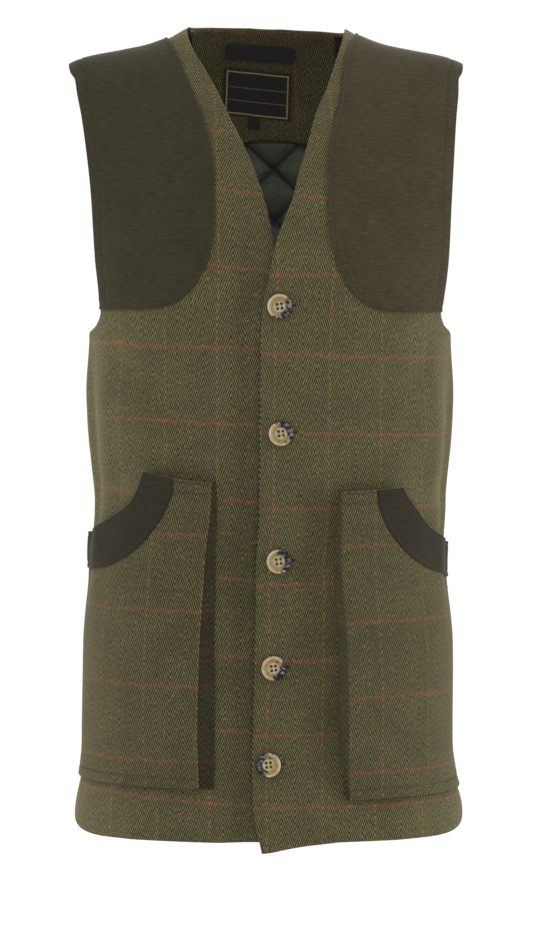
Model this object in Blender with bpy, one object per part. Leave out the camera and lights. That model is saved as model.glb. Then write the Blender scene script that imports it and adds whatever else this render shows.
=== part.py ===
# A tweed shooting vest, filled out as when it is worn, with no wearer inside.
# Metres. X runs to the wearer's left, the front faces -Y and Z is up.
# The origin lies between the two neck points, where a wearer's shoulders carry the vest.

import math

import bmesh
import bpy
from mathutils import Matrix, Vector

# Cloth walls and the gaps between them
SEAM_GAP = 0.0003
TWEED = 0.0024
PATCH_CLOTH = 0.0014
POCKET_CLOTH = 0.0020
TRIM_CLOTH = 0.0012
GUSSET_CLOTH = 0.0014
LINING_CLOTH = 0.0012
FACING_CLOTH = 0.0014
LABEL_CLOTH = 0.0010
QUILT_RISE = 0.0030
LAID_ON = 0.0010
LAID_INSIDE = 0.0006
POCKET_LAID_ON = 0.0013
TRIM_LAID_ON = 0.0015

# Heights that the pieces share
CHEST = -0.250
UNDERARM = -0.270
HEM = -0.7025
VENT_TOP = -0.655

# The form: how flat its front and back are, and its round above the chest
FLATNESS = 0.80
YOKE_ANGLE = math.radians(34.5)
UPPER_ROWS = 7
CHEST_ROWS = 6
BODY_ROWS = 16
ARMHOLE_LEVELS = (-0.0115, -0.0160)

# Neck hole, seen from above
NECK_HALF_WIDTH = 0.0705
BACK_NECK_DEPTH = 0.045
NECK_POINT_MARGIN = 0.002

# Rings round the body. Above the underarm they are the round that the armholes are cut from.
RING_COLUMNS = ("height", "half_width", "lean", "front_depth", "back_depth")
RINGS = (
    (-0.7100, 0.1720, -0.0015, 0.1210, 0.1130),
    (-0.6840, 0.1705, -0.0012, 0.1210, 0.1130),
    (-0.6550, 0.1640, -0.0022, 0.1205, 0.1125),
    (-0.6270, 0.1605, -0.0026, 0.1200, 0.1120),
    (-0.5390, 0.1595, -0.0018, 0.1190, 0.1110),
    (-0.4680, 0.1550, -0.0022, 0.1180, 0.1080),
    (-0.4150, 0.1532, 0.0004, 0.1180, 0.1060),
    (-0.3630, 0.1575, 0.0004, 0.1210, 0.1090),
    (-0.3150, 0.1602, 0.0002, 0.1250, 0.1140),
    (-0.2700, 0.1585, 0.0000, 0.1270, 0.1170),
    (-0.2200, 0.1680, 0.0016, 0.1270, 0.1180),
    (-0.1500, 0.1840, 0.0012, 0.1270, 0.1180),
    (-0.0800, 0.1960, -0.0010, 0.1270, 0.1180),
    (-0.0300, 0.2000, -0.0030, 0.1270, 0.1180),
)

# The shoulder seam, from the middle of the neck out to the tip
SHOULDER_COLUMNS = ("out", "height")
SHOULDER = (
    (0.0000, 0.0235),
    (0.0450, 0.0095),
    (0.0705, 0.0005),
    (0.0850, -0.0070),
    (0.1040, -0.0150),
    (0.1250, -0.0205),
    (0.1570, -0.0275),
    (0.1700, -0.0330),
    (0.1800, -0.0390),
)

# The armhole's edge, from the underarm up to the shoulder tip
ARMHOLE_COLUMNS = ("height", "out")
ARMHOLE = (
    (-0.2700, 0.1585),
    (-0.2660, 0.1560),
    (-0.2614, 0.1512),
    (-0.2500, 0.1474),
    (-0.2390, 0.1482),
    (-0.2040, 0.1520),
    (-0.1510, 0.1550),
    (-0.1160, 0.1580),
    (-0.0810, 0.1620),
    (-0.0630, 0.1650),
    (-0.0480, 0.1695),
    (-0.0400, 0.1760),
    (-0.0300, 0.1785),
)

# The front edges, measured out from the middle towards each front's own side
EDGE_COLUMNS = ("height", "out")
LAPPED_EDGE = (
    (-0.7150, -0.0050),
    (-0.6720, -0.0128),
    (-0.4940, -0.0102),
    (-0.3240, -0.0085),
    (-0.2475, -0.0068),
    (-0.2067, 0.0002),
    (-0.1862, 0.0046),
    (-0.1520, 0.0180),
    (-0.1305, 0.0231),
    (-0.1143, 0.0282),
    (-0.0751, 0.0395),
    (-0.0540, 0.0492),
    (-0.0165, 0.0625),
    (0.0010, 0.0705),
)
UNDER_EDGE = (
    (-0.7150, -0.0250),
    (-0.2600, -0.0250),
    (-0.2350, -0.0220),
    (-0.2150, -0.0120),
    (-0.1947, -0.0026),
    (-0.1708, 0.0017),
    (-0.1263, 0.0145),
    (-0.0830, 0.0335),
    (-0.0530, 0.0466),
    (-0.0125, 0.0670),
    (0.0010, 0.0705),
)

# The hem of the lapped front dips towards its corner
HEM_DIP_COLUMNS = ("out", "drop")
HEM_DIP = (
    (-0.0200, 0.0070),
    (0.0000, 0.0062),
    (0.0120, 0.0042),
    (0.0300, 0.0018),
    (0.0500, 0.0000),
)
CORNER_START = math.radians(55.0)
CORNER_RISE = 0.0200
VENT_HALF_GAP = 0.0022
VENT_RAMP = 0.030

# The under front lies inside the lapped one
LAP_OFFSET = TWEED + 0.0006
LAP_FULL = 0.018
LAP_END = 0.046

# Shares of each front from its front edge to its side, closer together where it turns
FRONT_COLUMNS = (0.0, 0.13, 0.27, 0.40, 0.53, 0.64, 0.74, 0.82, 0.89, 0.95, 1.0)
BACK_NECK_COLUMNS = 3
BACK_SIDE_COLUMNS = 7

# Shoulder patches: the inner edge of each, from its lower corner up to the shoulder seam
PATCH_COLUMNS = ("height", "out")
PATCH_EDGE = (
    (-0.2452, 0.1200),
    (-0.2436, 0.0960),
    (-0.2390, 0.0815),
    (-0.2310, 0.0710),
    (-0.2210, 0.0632),
    (-0.2060, 0.0548),
    (-0.1910, 0.0507),
    (-0.1600, 0.0478),
    (-0.1340, 0.0478),
    (-0.1100, 0.0505),
    (-0.0860, 0.0555),
    (-0.0680, 0.0615),
    (-0.0480, 0.0690),
    (-0.0240, 0.0780),
    (-0.0100, 0.0860),
)
PATCH_LOW_ANGLES = (4.0, 2.7, 1.75, 1.27)
PATCH_SHARES = 8
PATCH_INSET = 0.0006

# Pockets: the top edge and the curved hand opening, from the inner corner to the side seam
# Columns: out, height
POCKET_TOP_RIGHT = (
    (0.0503, -0.3929),
    (0.0690, -0.3915),
    (0.0880, -0.3885),
    (0.1071, -0.3848),
    (0.1114, -0.3994),
    (0.1180, -0.4133),
    (0.1318, -0.4252),
    (0.1440, -0.4350),
    (0.1510, -0.4395),
)
POCKET_TOP_LEFT = (
    (0.0574, -0.4010),
    (0.0740, -0.4005),
    (0.0910, -0.3998),
    (0.1085, -0.3988),
    (0.1128, -0.4080),
    (0.1182, -0.4165),
    (0.1300, -0.4325),
    (0.1420, -0.4430),
    (0.1510, -0.4485),
)
# Columns: side (+1 is the wearer's left), side_height, inner_bottom, bottom, bow of the inner edge
POCKETS = (
    (-1, -0.4434, 0.0605, -0.6560, 0.0045),
    (1, -0.4520, 0.0690, -0.6660, 0.0000),
)
POCKET_SIDE_ANGLE = math.radians(88.6)
POCKET_ROWS = 11
POCKET_FULL = 0.0180
GUSSET_REACH = 0.0115
GUSSET_TUCK = 0.0030
# How far the pocket stands off along its inner edge, from the bottom up
STAND_OFF_COLUMNS = ("share", "amount")
STAND_OFF = (
    (0.00, 0.20),
    (0.06, 0.50),
    (0.16, 0.86),
    (0.32, 1.00),
    (0.60, 0.92),
    (0.85, 0.74),
    (1.00, 0.56),
)

# Suede trims on the hand openings: inner edge from the top band to the side seam
TRIM_INNER_RIGHT = (
    (0.0827, -0.3900),
    (0.0827, -0.4020),
    (0.0857, -0.4115),
    (0.0913, -0.4260),
    (0.0977, -0.4373),
    (0.1079, -0.4506),
    (0.1228, -0.4625),
    (0.1370, -0.4695),
    (0.1500, -0.4730),
)
TRIM_INNER_LEFT = (
    (0.0865, -0.4004),
    (0.0872, -0.4110),
    (0.0922, -0.4269),
    (0.0991, -0.4391),
    (0.1072, -0.4493),
    (0.1161, -0.4586),
    (0.1269, -0.4672),
    (0.1370, -0.4730),
    (0.1495, -0.4790),
)
TRIM_SIDE_WIDTH = 0.0310

# Buttons, from the top one down
BUTTON_COLUMNS = ("out", "height")
BUTTONS = (
    (0.0071, -0.2442),
    (0.0088, -0.3521),
    (0.0094, -0.4614),
    (0.0048, -0.5525),
    (0.0012, -0.6351),
)
BUTTON_RADIUS = 0.0105
BUTTON_SIDES = 22
BUTTON_STAND = 0.0001
# Outline of a button from its back to the middle of its face
BUTTON_OUTLINE = (
    (0.0086, 0.0000),
    (0.0101, 0.0007),
    (0.0105, 0.0019),
    (0.0098, 0.0031),
    (0.0086, 0.0036),
    (0.0074, 0.0031),
    (0.0060, 0.0024),
)
HOLE_RADIUS = 0.0010
HOLE_OFFSET = 0.0016
HOLE_SIDES = 8

# Labels inside the back neck: middle, size and tilt of each
# Columns: name, middle_x, middle_z, width, height, tilt in degrees, gap to the facing
LABELS = (
    ("neck_label", -0.0112, -0.0525, 0.0594, 0.0410, -5.6, 0.0010),
    ("neck_tape", -0.0080, -0.0175, 0.0600, 0.0124, -3.0, 0.0014),
    ("size_tab", -0.0144, -0.0800, 0.0106, 0.0080, -5.6, 0.0006),
)
LABEL_SHARES = 4

# A small tab caught in the left side seam
TAB_TOP = -0.4860
TAB_DROP = 0.0070
TAB_REACH = 0.0038
TAB_THICKNESS = 0.0010
TAB_TOP_SHARE = 0.35
TAB_GAP = 0.0012
TAB_BEHIND = 0.0010
TAB_SKEW = 0.0006


def start_empty():
    """Remove what the file opens with."""
    for thing in list(bpy.data.objects):
        bpy.data.objects.remove(thing, do_unlink=True)


def make_material(name, colour, roughness):
    """A plain surface of one colour."""
    material = bpy.data.materials.new(name)
    material.use_nodes = True
    surface = material.node_tree.nodes["Principled BSDF"]
    surface.inputs["Base Color"].default_value = (*colour, 1.0)
    surface.inputs["Roughness"].default_value = roughness
    surface.inputs["Metallic"].default_value = 0.0
    return material


def read(table, columns, name, place):
    """The named column's value at a place in the first column, on a curve that never overshoots."""
    pick = columns.index(name)
    rows = sorted((row[0], row[pick]) for row in table)
    if place <= rows[0][0]:
        return rows[0][1]
    if place >= rows[-1][0]:
        return rows[-1][1]
    steps = [(b[0] - a[0], (b[1] - a[1]) / (b[0] - a[0])) for a, b in zip(rows, rows[1:])]

    def slope(index):
        """Slope of the curve at one row: level where the column turns back."""
        if index == 0:
            return steps[0][1]
        if index == len(steps):
            return steps[-1][1]
        before = steps[index - 1][1]
        after = steps[index][1]
        if before * after <= 0:
            return 0.0
        return 2 * before * after / (before + after)

    index = max(i for i in range(len(steps)) if rows[i][0] <= place)
    width = steps[index][0]
    t = (place - rows[index][0]) / width
    start = rows[index][1]
    end = rows[index + 1][1]
    return (
        start * (1 + 2 * t) * (1 - t) ** 2
        + slope(index) * width * t * (1 - t) ** 2
        + end * t * t * (3 - 2 * t)
        + slope(index + 1) * width * t * t * (t - 1)
    )


def ease(value):
    """A soft step from 0 to 1."""
    value = min(max(value, 0.0), 1.0)
    return value * value * (3 - 2 * value)


def height_at(out, level):
    """Height of a point. Below the chest level is metres under it; above, an angle over the shoulder."""
    if level <= 0:
        return CHEST + level
    return CHEST + (read(SHOULDER, SHOULDER_COLUMNS, "height", abs(out)) - CHEST) * math.sin(level)


def level_at(out, height):
    """The level of a point at this height."""
    if height <= CHEST:
        return height - CHEST
    top = read(SHOULDER, SHOULDER_COLUMNS, "height", abs(out))
    return math.asin(min((height - CHEST) / (top - CHEST), 1.0))


def turn_at(out, level):
    """The angle round the body, from the middle, of a point this far out."""
    half_width = read(RINGS, RING_COLUMNS, "half_width", height_at(out, level))
    return math.asin(min(max(out / half_width, -1.0), 1.0))


def form_point(face, turn, level):
    """A point on the outside of the body, on its front (-1) or its back (+1)."""
    height = height_at(0.1 * math.sin(turn), level)
    for _ in range(6):
        out = read(RINGS, RING_COLUMNS, "half_width", height) * math.sin(turn)
        height = height_at(out, level)
    depth = read(RINGS, RING_COLUMNS, "front_depth" if face < 0 else "back_depth", height)
    round_part = math.copysign(abs(math.cos(turn)) ** FLATNESS, math.cos(turn))
    over = math.cos(level) if level > 0 else 1.0
    near_side = ease((abs(turn) - CORNER_START) / (math.pi / 2 - CORNER_START))
    vent = ease((VENT_TOP - height) / VENT_RAMP) * near_side
    away = depth * round_part * over + SEAM_GAP / 2 + VENT_HALF_GAP * vent
    lean = read(RINGS, RING_COLUMNS, "lean", height)
    return Vector((out + lean, face * away, height))


def form_normal(face, turn, level):
    """The direction straight out of the body at this point."""
    step = 0.002
    across = form_point(face, turn + step, level) - form_point(face, turn - step, level)
    up = form_point(face, turn, level + step) - form_point(face, turn, level - step)
    return (across.cross(up) * -face).normalized()


def lifted(face, turn, level, amount):
    """A point moved straight out from the body's outside."""
    return form_point(face, turn, level) + form_normal(face, turn, level) * amount


def edge_out(table, columns, level):
    """How far out an edge lies on the row at this level."""
    out = 0.1
    for _ in range(12):
        out = read(table, columns, "out", height_at(out, level))
    return out


def hem_height(side, turn):
    """Height of the hem, with its rounded corner at the side vent."""
    share = min(max((abs(turn) - CORNER_START) / (math.pi / 2 - CORNER_START), 0.0), 1.0)
    rise = CORNER_RISE * (1 - math.sqrt(1 - share * share))
    half_width = RINGS[0][1]
    drop = 0.0
    if side > 0:
        drop = read(HEM_DIP, HEM_DIP_COLUMNS, "drop", half_width * math.sin(turn))
    return HEM + rise - drop


def upper_levels(top_angle):
    """Levels of the rows above the chest, from the top down to the chest."""
    over = [top_angle + (YOKE_ANGLE - top_angle) * i / UPPER_ROWS for i in range(UPPER_ROWS)]
    chest = [YOKE_ANGLE * (1 - i / CHEST_ROWS) for i in range(CHEST_ROWS + 1)]
    return over + chest


def lower_level(side, turn, share):
    """Level of a row below the underarm; share runs from 0 there to 1 at the hem."""
    return UNDERARM + (hem_height(side, turn) - UNDERARM) * share - CHEST


def front_rows(side):
    """Each front's grid as (turn, level) pairs, from the shoulder seam down to the hem."""
    edge = LAPPED_EDGE if side > 0 else UNDER_EDGE
    rows = []
    for level in upper_levels(math.pi / 2) + list(ARMHOLE_LEVELS):
        inner = turn_at(edge_out(edge, EDGE_COLUMNS, level), level)
        outer = turn_at(edge_out(ARMHOLE, ARMHOLE_COLUMNS, level), level)
        rows.append([(inner + (outer - inner) * share, level) for share in FRONT_COLUMNS])
    for i in range(BODY_ROWS + 1):
        row = []
        for share in FRONT_COLUMNS:
            turn = math.pi / 2 * share
            for _ in range(3):
                level = lower_level(side, turn, i / BODY_ROWS)
                inner = turn_at(read(edge, EDGE_COLUMNS, "out", CHEST + level), level)
                turn = inner + (math.pi / 2 - inner) * share
            row.append((turn, level))
        rows.append(row)
    return rows


def lap_offset(side, out, level):
    """How far inside its own place the under front lies."""
    if side > 0:
        return 0.0
    return LAP_OFFSET * ease((LAP_END - out) / (LAP_END - LAP_FULL))


def front_point(side, turn, level, amount):
    """A point on a front, moved out; its own side is +1 for the wearer's left."""
    out = form_point(-1, turn, level).x
    point = form_point(-1, side * turn, level)
    return point + form_normal(-1, side * turn, level) * (amount - lap_offset(side, out, level))


def back_rows():
    """The back's grid as (turn, level) pairs, from the neck and shoulders down to the hem."""
    def turns(level, outer):
        """Column angles, with one column under each neck point."""
        neck = turn_at(NECK_HALF_WIDTH, level)
        middle = [neck * i / BACK_NECK_COLUMNS for i in range(BACK_NECK_COLUMNS)]
        side = [neck + (outer - neck) * i / BACK_SIDE_COLUMNS for i in range(BACK_SIDE_COLUMNS + 1)]
        half = middle + side
        return [-turn for turn in reversed(half[1:])] + half

    rows = []
    for i in range(UPPER_ROWS + CHEST_ROWS + 1):
        guide = upper_levels(math.pi / 2)[i]
        outer = turn_at(edge_out(ARMHOLE, ARMHOLE_COLUMNS, guide), guide)
        row = []
        for turn in turns(guide, outer):
            out = abs(form_point(1, turn, guide).x)
            inside = max(1 - (out / NECK_HALF_WIDTH) ** 2, 0.0)
            if out > NECK_HALF_WIDTH - NECK_POINT_MARGIN:
                inside = 0.0
            top_angle = math.acos(BACK_NECK_DEPTH / RINGS[-1][4] * math.sqrt(inside))
            row.append((turn, upper_levels(top_angle)[i]))
        rows.append(row)
    for level in ARMHOLE_LEVELS:
        outer = turn_at(edge_out(ARMHOLE, ARMHOLE_COLUMNS, level), level)
        rows.append([(turn, level) for turn in turns(level, outer)])
    for i in range(BODY_ROWS + 1):
        row = [(turn, lower_level(-1, turn, i / BODY_ROWS)) for turn in turns(UNDERARM - CHEST, math.pi / 2)]
        rows.append(row)
    return rows


def wall(name, outer, inner, material, first_row=0):
    """A closed cloth wall between two grids of points, halved as the wall it lies on is."""
    rows = len(outer)
    columns = len(outer[0])
    points = [p for row in outer for p in row] + [p for row in inner for p in row]

    def at(layer, row, column):
        """Number of one point."""
        return (layer * rows + row) * columns + column

    faces = []
    for r in range(rows - 1):
        for c in range(columns - 1):
            for layer in (0, 1):
                corners = [at(layer, r, c), at(layer, r, c + 1), at(layer, r + 1, c + 1), at(layer, r + 1, c)]
                if (first_row + r + c) % 2 == 0:
                    corners = corners[1:] + corners[:1]
                halves = [corners[:3], [corners[0], corners[2], corners[3]]]
                faces += halves if layer == 0 else [half[::-1] for half in halves]
    for r in range(rows - 1):
        faces.append([at(0, r, 0), at(0, r + 1, 0), at(1, r + 1, 0), at(1, r, 0)])
        last = columns - 1
        faces.append([at(0, r + 1, last), at(0, r, last), at(1, r, last), at(1, r + 1, last)])
    for c in range(columns - 1):
        faces.append([at(0, 0, c + 1), at(0, 0, c), at(1, 0, c), at(1, 0, c + 1)])
        last = rows - 1
        faces.append([at(0, last, c), at(0, last, c + 1), at(1, last, c + 1), at(1, last, c)])
    mesh = bpy.data.meshes.new(name)
    mesh.from_pydata(points, [], faces)
    finish_mesh(mesh)
    return place(name, mesh, material)


def finish_mesh(mesh):
    """Turn the faces outward and shade them smooth."""
    bm = bmesh.new()
    bm.from_mesh(mesh)
    bmesh.ops.recalc_face_normals(bm, faces=bm.faces)
    bm.to_mesh(mesh)
    bm.free()
    mesh.shade_smooth()
    mesh.set_sharp_from_angle(angle=math.radians(40))


def place(name, mesh, material):
    """Put a mesh in the scene as a named piece."""
    piece = bpy.data.objects.new(name, mesh)
    mesh.materials.append(material)
    bpy.context.scene.collection.objects.link(piece)
    return piece


def make_fronts(material):
    """Left and right front; the left one laps over the right one."""
    for side, name in ((1, "front_left"), (-1, "front_right")):
        rows = front_rows(side)
        outer = [[front_point(side, turn, level, 0) for turn, level in row] for row in rows]
        inner = [[front_point(side, turn, level, -TWEED) for turn, level in row] for row in rows]
        wall(name, outer, inner, material)


def make_back(material):
    """The back, from the neck and shoulder seams down to the hem."""
    rows = back_rows()
    outer = [[form_point(1, turn, level) for turn, level in row] for row in rows]
    inner = [[lifted(1, turn, level, -TWEED) for turn, level in row] for row in rows]
    wall("back", outer, inner, material)


def drawn_in(points, sides, top, bottom):
    """A grid with its outer lines of points drawn in along it by these shares of a cell."""
    points = [row[:] for row in points]
    for row in points:
        row[0] = row[0].lerp(row[1], sides)
        row[-1] = row[-1].lerp(row[-2], sides)
    points[0] = [a.lerp(b, top) for a, b in zip(points[0], points[1])]
    points[-1] = [a.lerp(b, bottom) for a, b in zip(points[-1], points[-2])]
    return points


def make_back_inside(facing_material, lining_material):
    """The neck facing and, under it, the quilted lining, both made from the back's points."""
    rows = back_rows()
    outside = -TWEED - LAID_INSIDE
    facing = rows[:UPPER_ROWS + 1]
    outer = [[lifted(1, turn, level, outside) for turn, level in row] for row in facing]
    inner = [[lifted(1, turn, level, outside - FACING_CLOTH) for turn, level in row] for row in facing]
    outer = drawn_in(outer, 0.12, 0.04, 0.06)
    inner = drawn_in(inner, 0.12, 0.04, 0.06)
    wall("back_neck_facing", outer, inner, facing_material)

    outer = []
    inner = []
    for i, row in enumerate(rows[UPPER_ROWS:-1]):
        last = len(row) - 1
        outer.append([lifted(1, turn, level, outside) for turn, level in row])
        line = []
        for j, (turn, level) in enumerate(row):
            puffed = (UPPER_ROWS + i + j) % 2 == 0 and 0 < j < last
            line.append(lifted(1, turn, level, outside - LINING_CLOTH - (QUILT_RISE if puffed else 0.0)))
        inner.append(line)
    outer = drawn_in(outer, 0.12, 0.02, 0.0)
    inner = drawn_in(inner, 0.12, 0.02, 0.0)
    wall("back_lining", outer, inner, lining_material, UPPER_ROWS)


def make_labels(material):
    """Bare labels and a bare size tab on the neck facing."""
    for name, middle_x, middle_z, width, height, tilt, gap in LABELS:
        back_of_label = -TWEED - LAID_INSIDE - FACING_CLOTH - gap
        sheets = []
        for lift in (back_of_label, back_of_label - LABEL_CLOTH):
            sheet = []
            for i in range(LABEL_SHARES + 1):
                row = []
                for j in range(LABEL_SHARES + 1):
                    across = (j / LABEL_SHARES - 0.5) * width
                    up = (0.5 - i / LABEL_SHARES) * height
                    angle = math.radians(tilt)
                    out = middle_x + across * math.cos(angle) - up * math.sin(angle)
                    level = level_at(out, middle_z + across * math.sin(angle) + up * math.cos(angle))
                    row.append(lifted(1, turn_at(out, level), level, lift))
                sheet.append(row)
            sheets.append(sheet)
        wall(name, sheets[0], sheets[1], material)


def make_patches(material):
    """Shoulder patches, each made from its front's own rows, moved out."""
    levels = upper_levels(math.pi / 2)[:-1] + [math.radians(angle) for angle in PATCH_LOW_ANGLES]
    for side, name in ((1, "shoulder_patch_left"), (-1, "shoulder_patch_right")):
        sheets = []
        for lift in (LAID_ON + PATCH_CLOTH, LAID_ON):
            sheet = []
            for level in levels:
                inner = turn_at(edge_out(PATCH_EDGE, PATCH_COLUMNS, level), level)
                outer = turn_at(edge_out(ARMHOLE, ARMHOLE_COLUMNS, level) - PATCH_INSET, level)
                turns = [inner + (outer - inner) * i / PATCH_SHARES for i in range(PATCH_SHARES + 1)]
                sheet.append([front_point(side, turn, level, lift) for turn in turns])
            sheets.append(sheet)
        wall(name, sheets[0], sheets[1], material)


def pocket_grid(top, side_height, inner_bottom, bottom, bow):
    """A pocket's face as rows of (turn, level, share across, share up), from the top down."""
    head = [(turn_at(out, height - CHEST), height) for out, height in top]
    head.append((POCKET_SIDE_ANGLE, side_height))
    last = len(head) - 1
    foot_inner = turn_at(inner_bottom, bottom - CHEST)
    rows = []
    for i in range(POCKET_ROWS + 1):
        up = 1 - i / POCKET_ROWS
        row = []
        for j, (head_turn, head_height) in enumerate(head):
            foot_turn = foot_inner + (POCKET_SIDE_ANGLE - foot_inner) * j / last
            turn = foot_turn + (head_turn - foot_turn) * up
            turn += bow / 0.15 * math.sin(math.pi * up) * (1 - j / last)
            row.append((turn, bottom + (head_height - bottom) * up - CHEST, j / last, up))
        rows.append(row)
    return rows


def stand_off(turn, inner_turn, up):
    """How far the pocket's face stands off its front."""
    across = min(max((turn - inner_turn) / (POCKET_SIDE_ANGLE - inner_turn), 0.0), 1.0)
    return POCKET_FULL * (1 - across) ** 1.15 * read(STAND_OFF, STAND_OFF_COLUMNS, "amount", up)


def make_pockets(tweed, gusset_cloth, suede):
    """Each bellows pocket: its face, the gusset along its inner edge and the trim of its opening."""
    tops = {-1: POCKET_TOP_RIGHT, 1: POCKET_TOP_LEFT}
    trims = {-1: TRIM_INNER_RIGHT, 1: TRIM_INNER_LEFT}
    for side, side_height, inner_bottom, bottom, bow in POCKETS:
        hand = "left" if side > 0 else "right"
        grid = pocket_grid(tops[side], side_height, inner_bottom, bottom, bow)

        def inner_turn(level):
            """Angle of the face's inner edge at this level."""
            for upper, lower in zip(grid, grid[1:]):
                if lower[0][1] <= level:
                    break
            share = min(max((level - lower[0][1]) / (upper[0][1] - lower[0][1]), 0.0), 1.0)
            return lower[0][0] + (upper[0][0] - lower[0][0]) * share

        def face_lift(turn, level):
            """Lift of the back of the face at this place."""
            up = (level - grid[-1][0][1]) / (grid[0][0][1] - grid[-1][0][1])
            return POCKET_LAID_ON + stand_off(turn, inner_turn(level), min(max(up, 0.0), 1.0))

        inner = []
        outer = []
        for row in grid:
            inner.append([front_point(side, t, l, face_lift(t, l)) for t, l, _, _ in row])
            outer.append([front_point(side, t, l, face_lift(t, l) + POCKET_CLOTH) for t, l, _, _ in row])
        wall("pocket_face_" + hand, outer, inner, tweed)

        outer = []
        inner = []
        for row in grid:
            turn, level = row[0][0], row[0][1]
            half_width = read(RINGS, RING_COLUMNS, "half_width", CHEST + level)
            tuck = turn + GUSSET_TUCK / half_width
            sewn = turn - GUSSET_REACH / half_width * (1 - 0.75 * row[0][3] ** 2)
            under = face_lift(tuck, level) - 2 * SEAM_GAP
            outer.append([
                front_point(side, tuck, level, under),
                front_point(side, (tuck + sewn) / 2, level, (under + LAID_ON + GUSSET_CLOTH) / 2),
                front_point(side, sewn, level, LAID_ON + GUSSET_CLOTH),
            ])
            inner.append([
                front_point(side, tuck, level, under - GUSSET_CLOTH),
                front_point(side, (tuck + sewn) / 2, level, (under + LAID_ON - GUSSET_CLOTH) / 2),
                front_point(side, sewn, level, LAID_ON),
            ])
        wall("pocket_gusset_" + hand, outer, inner, gusset_cloth)

        edge = [(turn_at(out, height - CHEST), height) for out, height in tops[side][3:]]
        edge.append((POCKET_SIDE_ANGLE, side_height))
        far = [(turn_at(out, height - CHEST), height) for out, height in trims[side]]
        far.append((POCKET_SIDE_ANGLE, side_height - TRIM_SIDE_WIDTH))
        outer = []
        inner = []
        count = len(far) - 1
        for i in range(count + 1):
            near = pair_along(edge, i / count)
            row = [tuple(a + (b - a) * share for a, b in zip(near, far[i])) for share in (0, 1 / 3, 2 / 3, 1)]
            base = [(t, h - CHEST, face_lift(t, h - CHEST) + POCKET_CLOTH + TRIM_LAID_ON) for t, h in row]
            inner.append([front_point(side, t, l, lift) for t, l, lift in base])
            outer.append([front_point(side, t, l, lift + TRIM_CLOTH) for t, l, lift in base])
        wall("pocket_trim_" + hand, outer, inner, suede)


def pair_along(pairs, share):
    """A point a share of the way along a run of pairs."""
    place = share * (len(pairs) - 1)
    index = min(int(place), len(pairs) - 2)
    part = place - index
    return tuple(a + (b - a) * part for a, b in zip(pairs[index], pairs[index + 1]))


def button_mesh():
    """A round dished button with four holes."""
    bm = bmesh.new()
    rings = []
    for radius, height in BUTTON_OUTLINE:
        ring = []
        for i in range(BUTTON_SIDES):
            angle = 2 * math.pi * i / BUTTON_SIDES
            ring.append(bm.verts.new((radius * math.cos(angle), radius * math.sin(angle), height)))
        rings.append(ring)
    bm.faces.new(rings[0][::-1])
    bm.faces.new(rings[-1])
    for lower, upper in zip(rings, rings[1:]):
        for i in range(BUTTON_SIDES):
            j = (i + 1) % BUTTON_SIDES
            bm.faces.new((lower[i], lower[j], upper[j], upper[i]))
    mesh = bpy.data.meshes.new("button")
    bm.to_mesh(mesh)
    bm.free()
    return mesh


def hole_cutter():
    """Four pins through a button, hidden, that cut its holes."""
    bm = bmesh.new()
    for x in (-HOLE_OFFSET, HOLE_OFFSET):
        for y in (-HOLE_OFFSET, HOLE_OFFSET):
            bmesh.ops.create_cone(
                bm, cap_ends=True, segments=HOLE_SIDES, radius1=HOLE_RADIUS, radius2=HOLE_RADIUS,
                depth=0.02, matrix=Matrix.Translation((x, y, 0)),
            )
    mesh = bpy.data.meshes.new("button_holes")
    bm.to_mesh(mesh)
    bm.free()
    cutter = bpy.data.objects.new("button_holes", mesh)
    bpy.context.scene.collection.objects.link(cutter)
    cutter.hide_render = True
    cutter.display_type = "WIRE"
    return cutter


def make_buttons(horn):
    """Five buttons down the lapped front."""
    for number, (out, height) in enumerate(BUTTONS, start=1):
        level = level_at(out, height)
        turn = turn_at(out, level)
        middle = lifted(-1, turn, level, BUTTON_STAND)
        facing = form_normal(-1, turn, level)
        turned = facing.to_track_quat("Z", "Y").to_matrix().to_4x4()
        piece = place("button_%d" % number, button_mesh(), horn)
        piece.matrix_world = Matrix.Translation(middle) @ turned
        cutter = hole_cutter()
        cutter.matrix_world = piece.matrix_world
        cut = piece.modifiers.new("holes", "BOOLEAN")
        cut.operation = "DIFFERENCE"
        cut.object = cutter


def make_side_tab(material):
    """A small folded tab that hangs from the left side seam."""
    seam = form_point(1, math.pi / 2, TAB_TOP - CHEST)
    outer = []
    inner = []
    for i in range(3):
        share = i / 2
        z = TAB_TOP - TAB_DROP * share
        reach = TAB_REACH * (TAB_TOP_SHARE + (1 - TAB_TOP_SHARE) * share)
        near = Vector((seam.x + TAB_GAP, TAB_BEHIND, z))
        far = Vector((near.x + reach, TAB_BEHIND + TAB_SKEW, z))
        outer.append([near, far])
        inner.append([near + Vector((0, TAB_THICKNESS, 0)), far + Vector((0, TAB_THICKNESS, 0))])
    wall("side_tab", outer, inner, material)


start_empty()
tweed_cloth = make_material("tweed", (0.100, 0.092, 0.042), 0.95)
shade_cloth = make_material("tweed_in_shade", (0.050, 0.046, 0.024), 0.95)
suede_cloth = make_material("suede_cloth", (0.038, 0.034, 0.020), 0.95)
lining_cloth = make_material("satin_lining", (0.018, 0.032, 0.022), 0.45)
label_cloth = make_material("woven_label", (0.014, 0.015, 0.017), 0.80)
button_horn = make_material("horn", (0.330, 0.300, 0.230), 0.30)
make_fronts(tweed_cloth)
make_back(tweed_cloth)
make_back_inside(shade_cloth, lining_cloth)
make_labels(label_cloth)
make_patches(suede_cloth)
make_pockets(tweed_cloth, shade_cloth, suede_cloth)
make_buttons(button_horn)
make_side_tab(label_cloth)
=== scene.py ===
import math

import bpy
import numpy as np
from mathutils import Matrix, Vector


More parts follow.
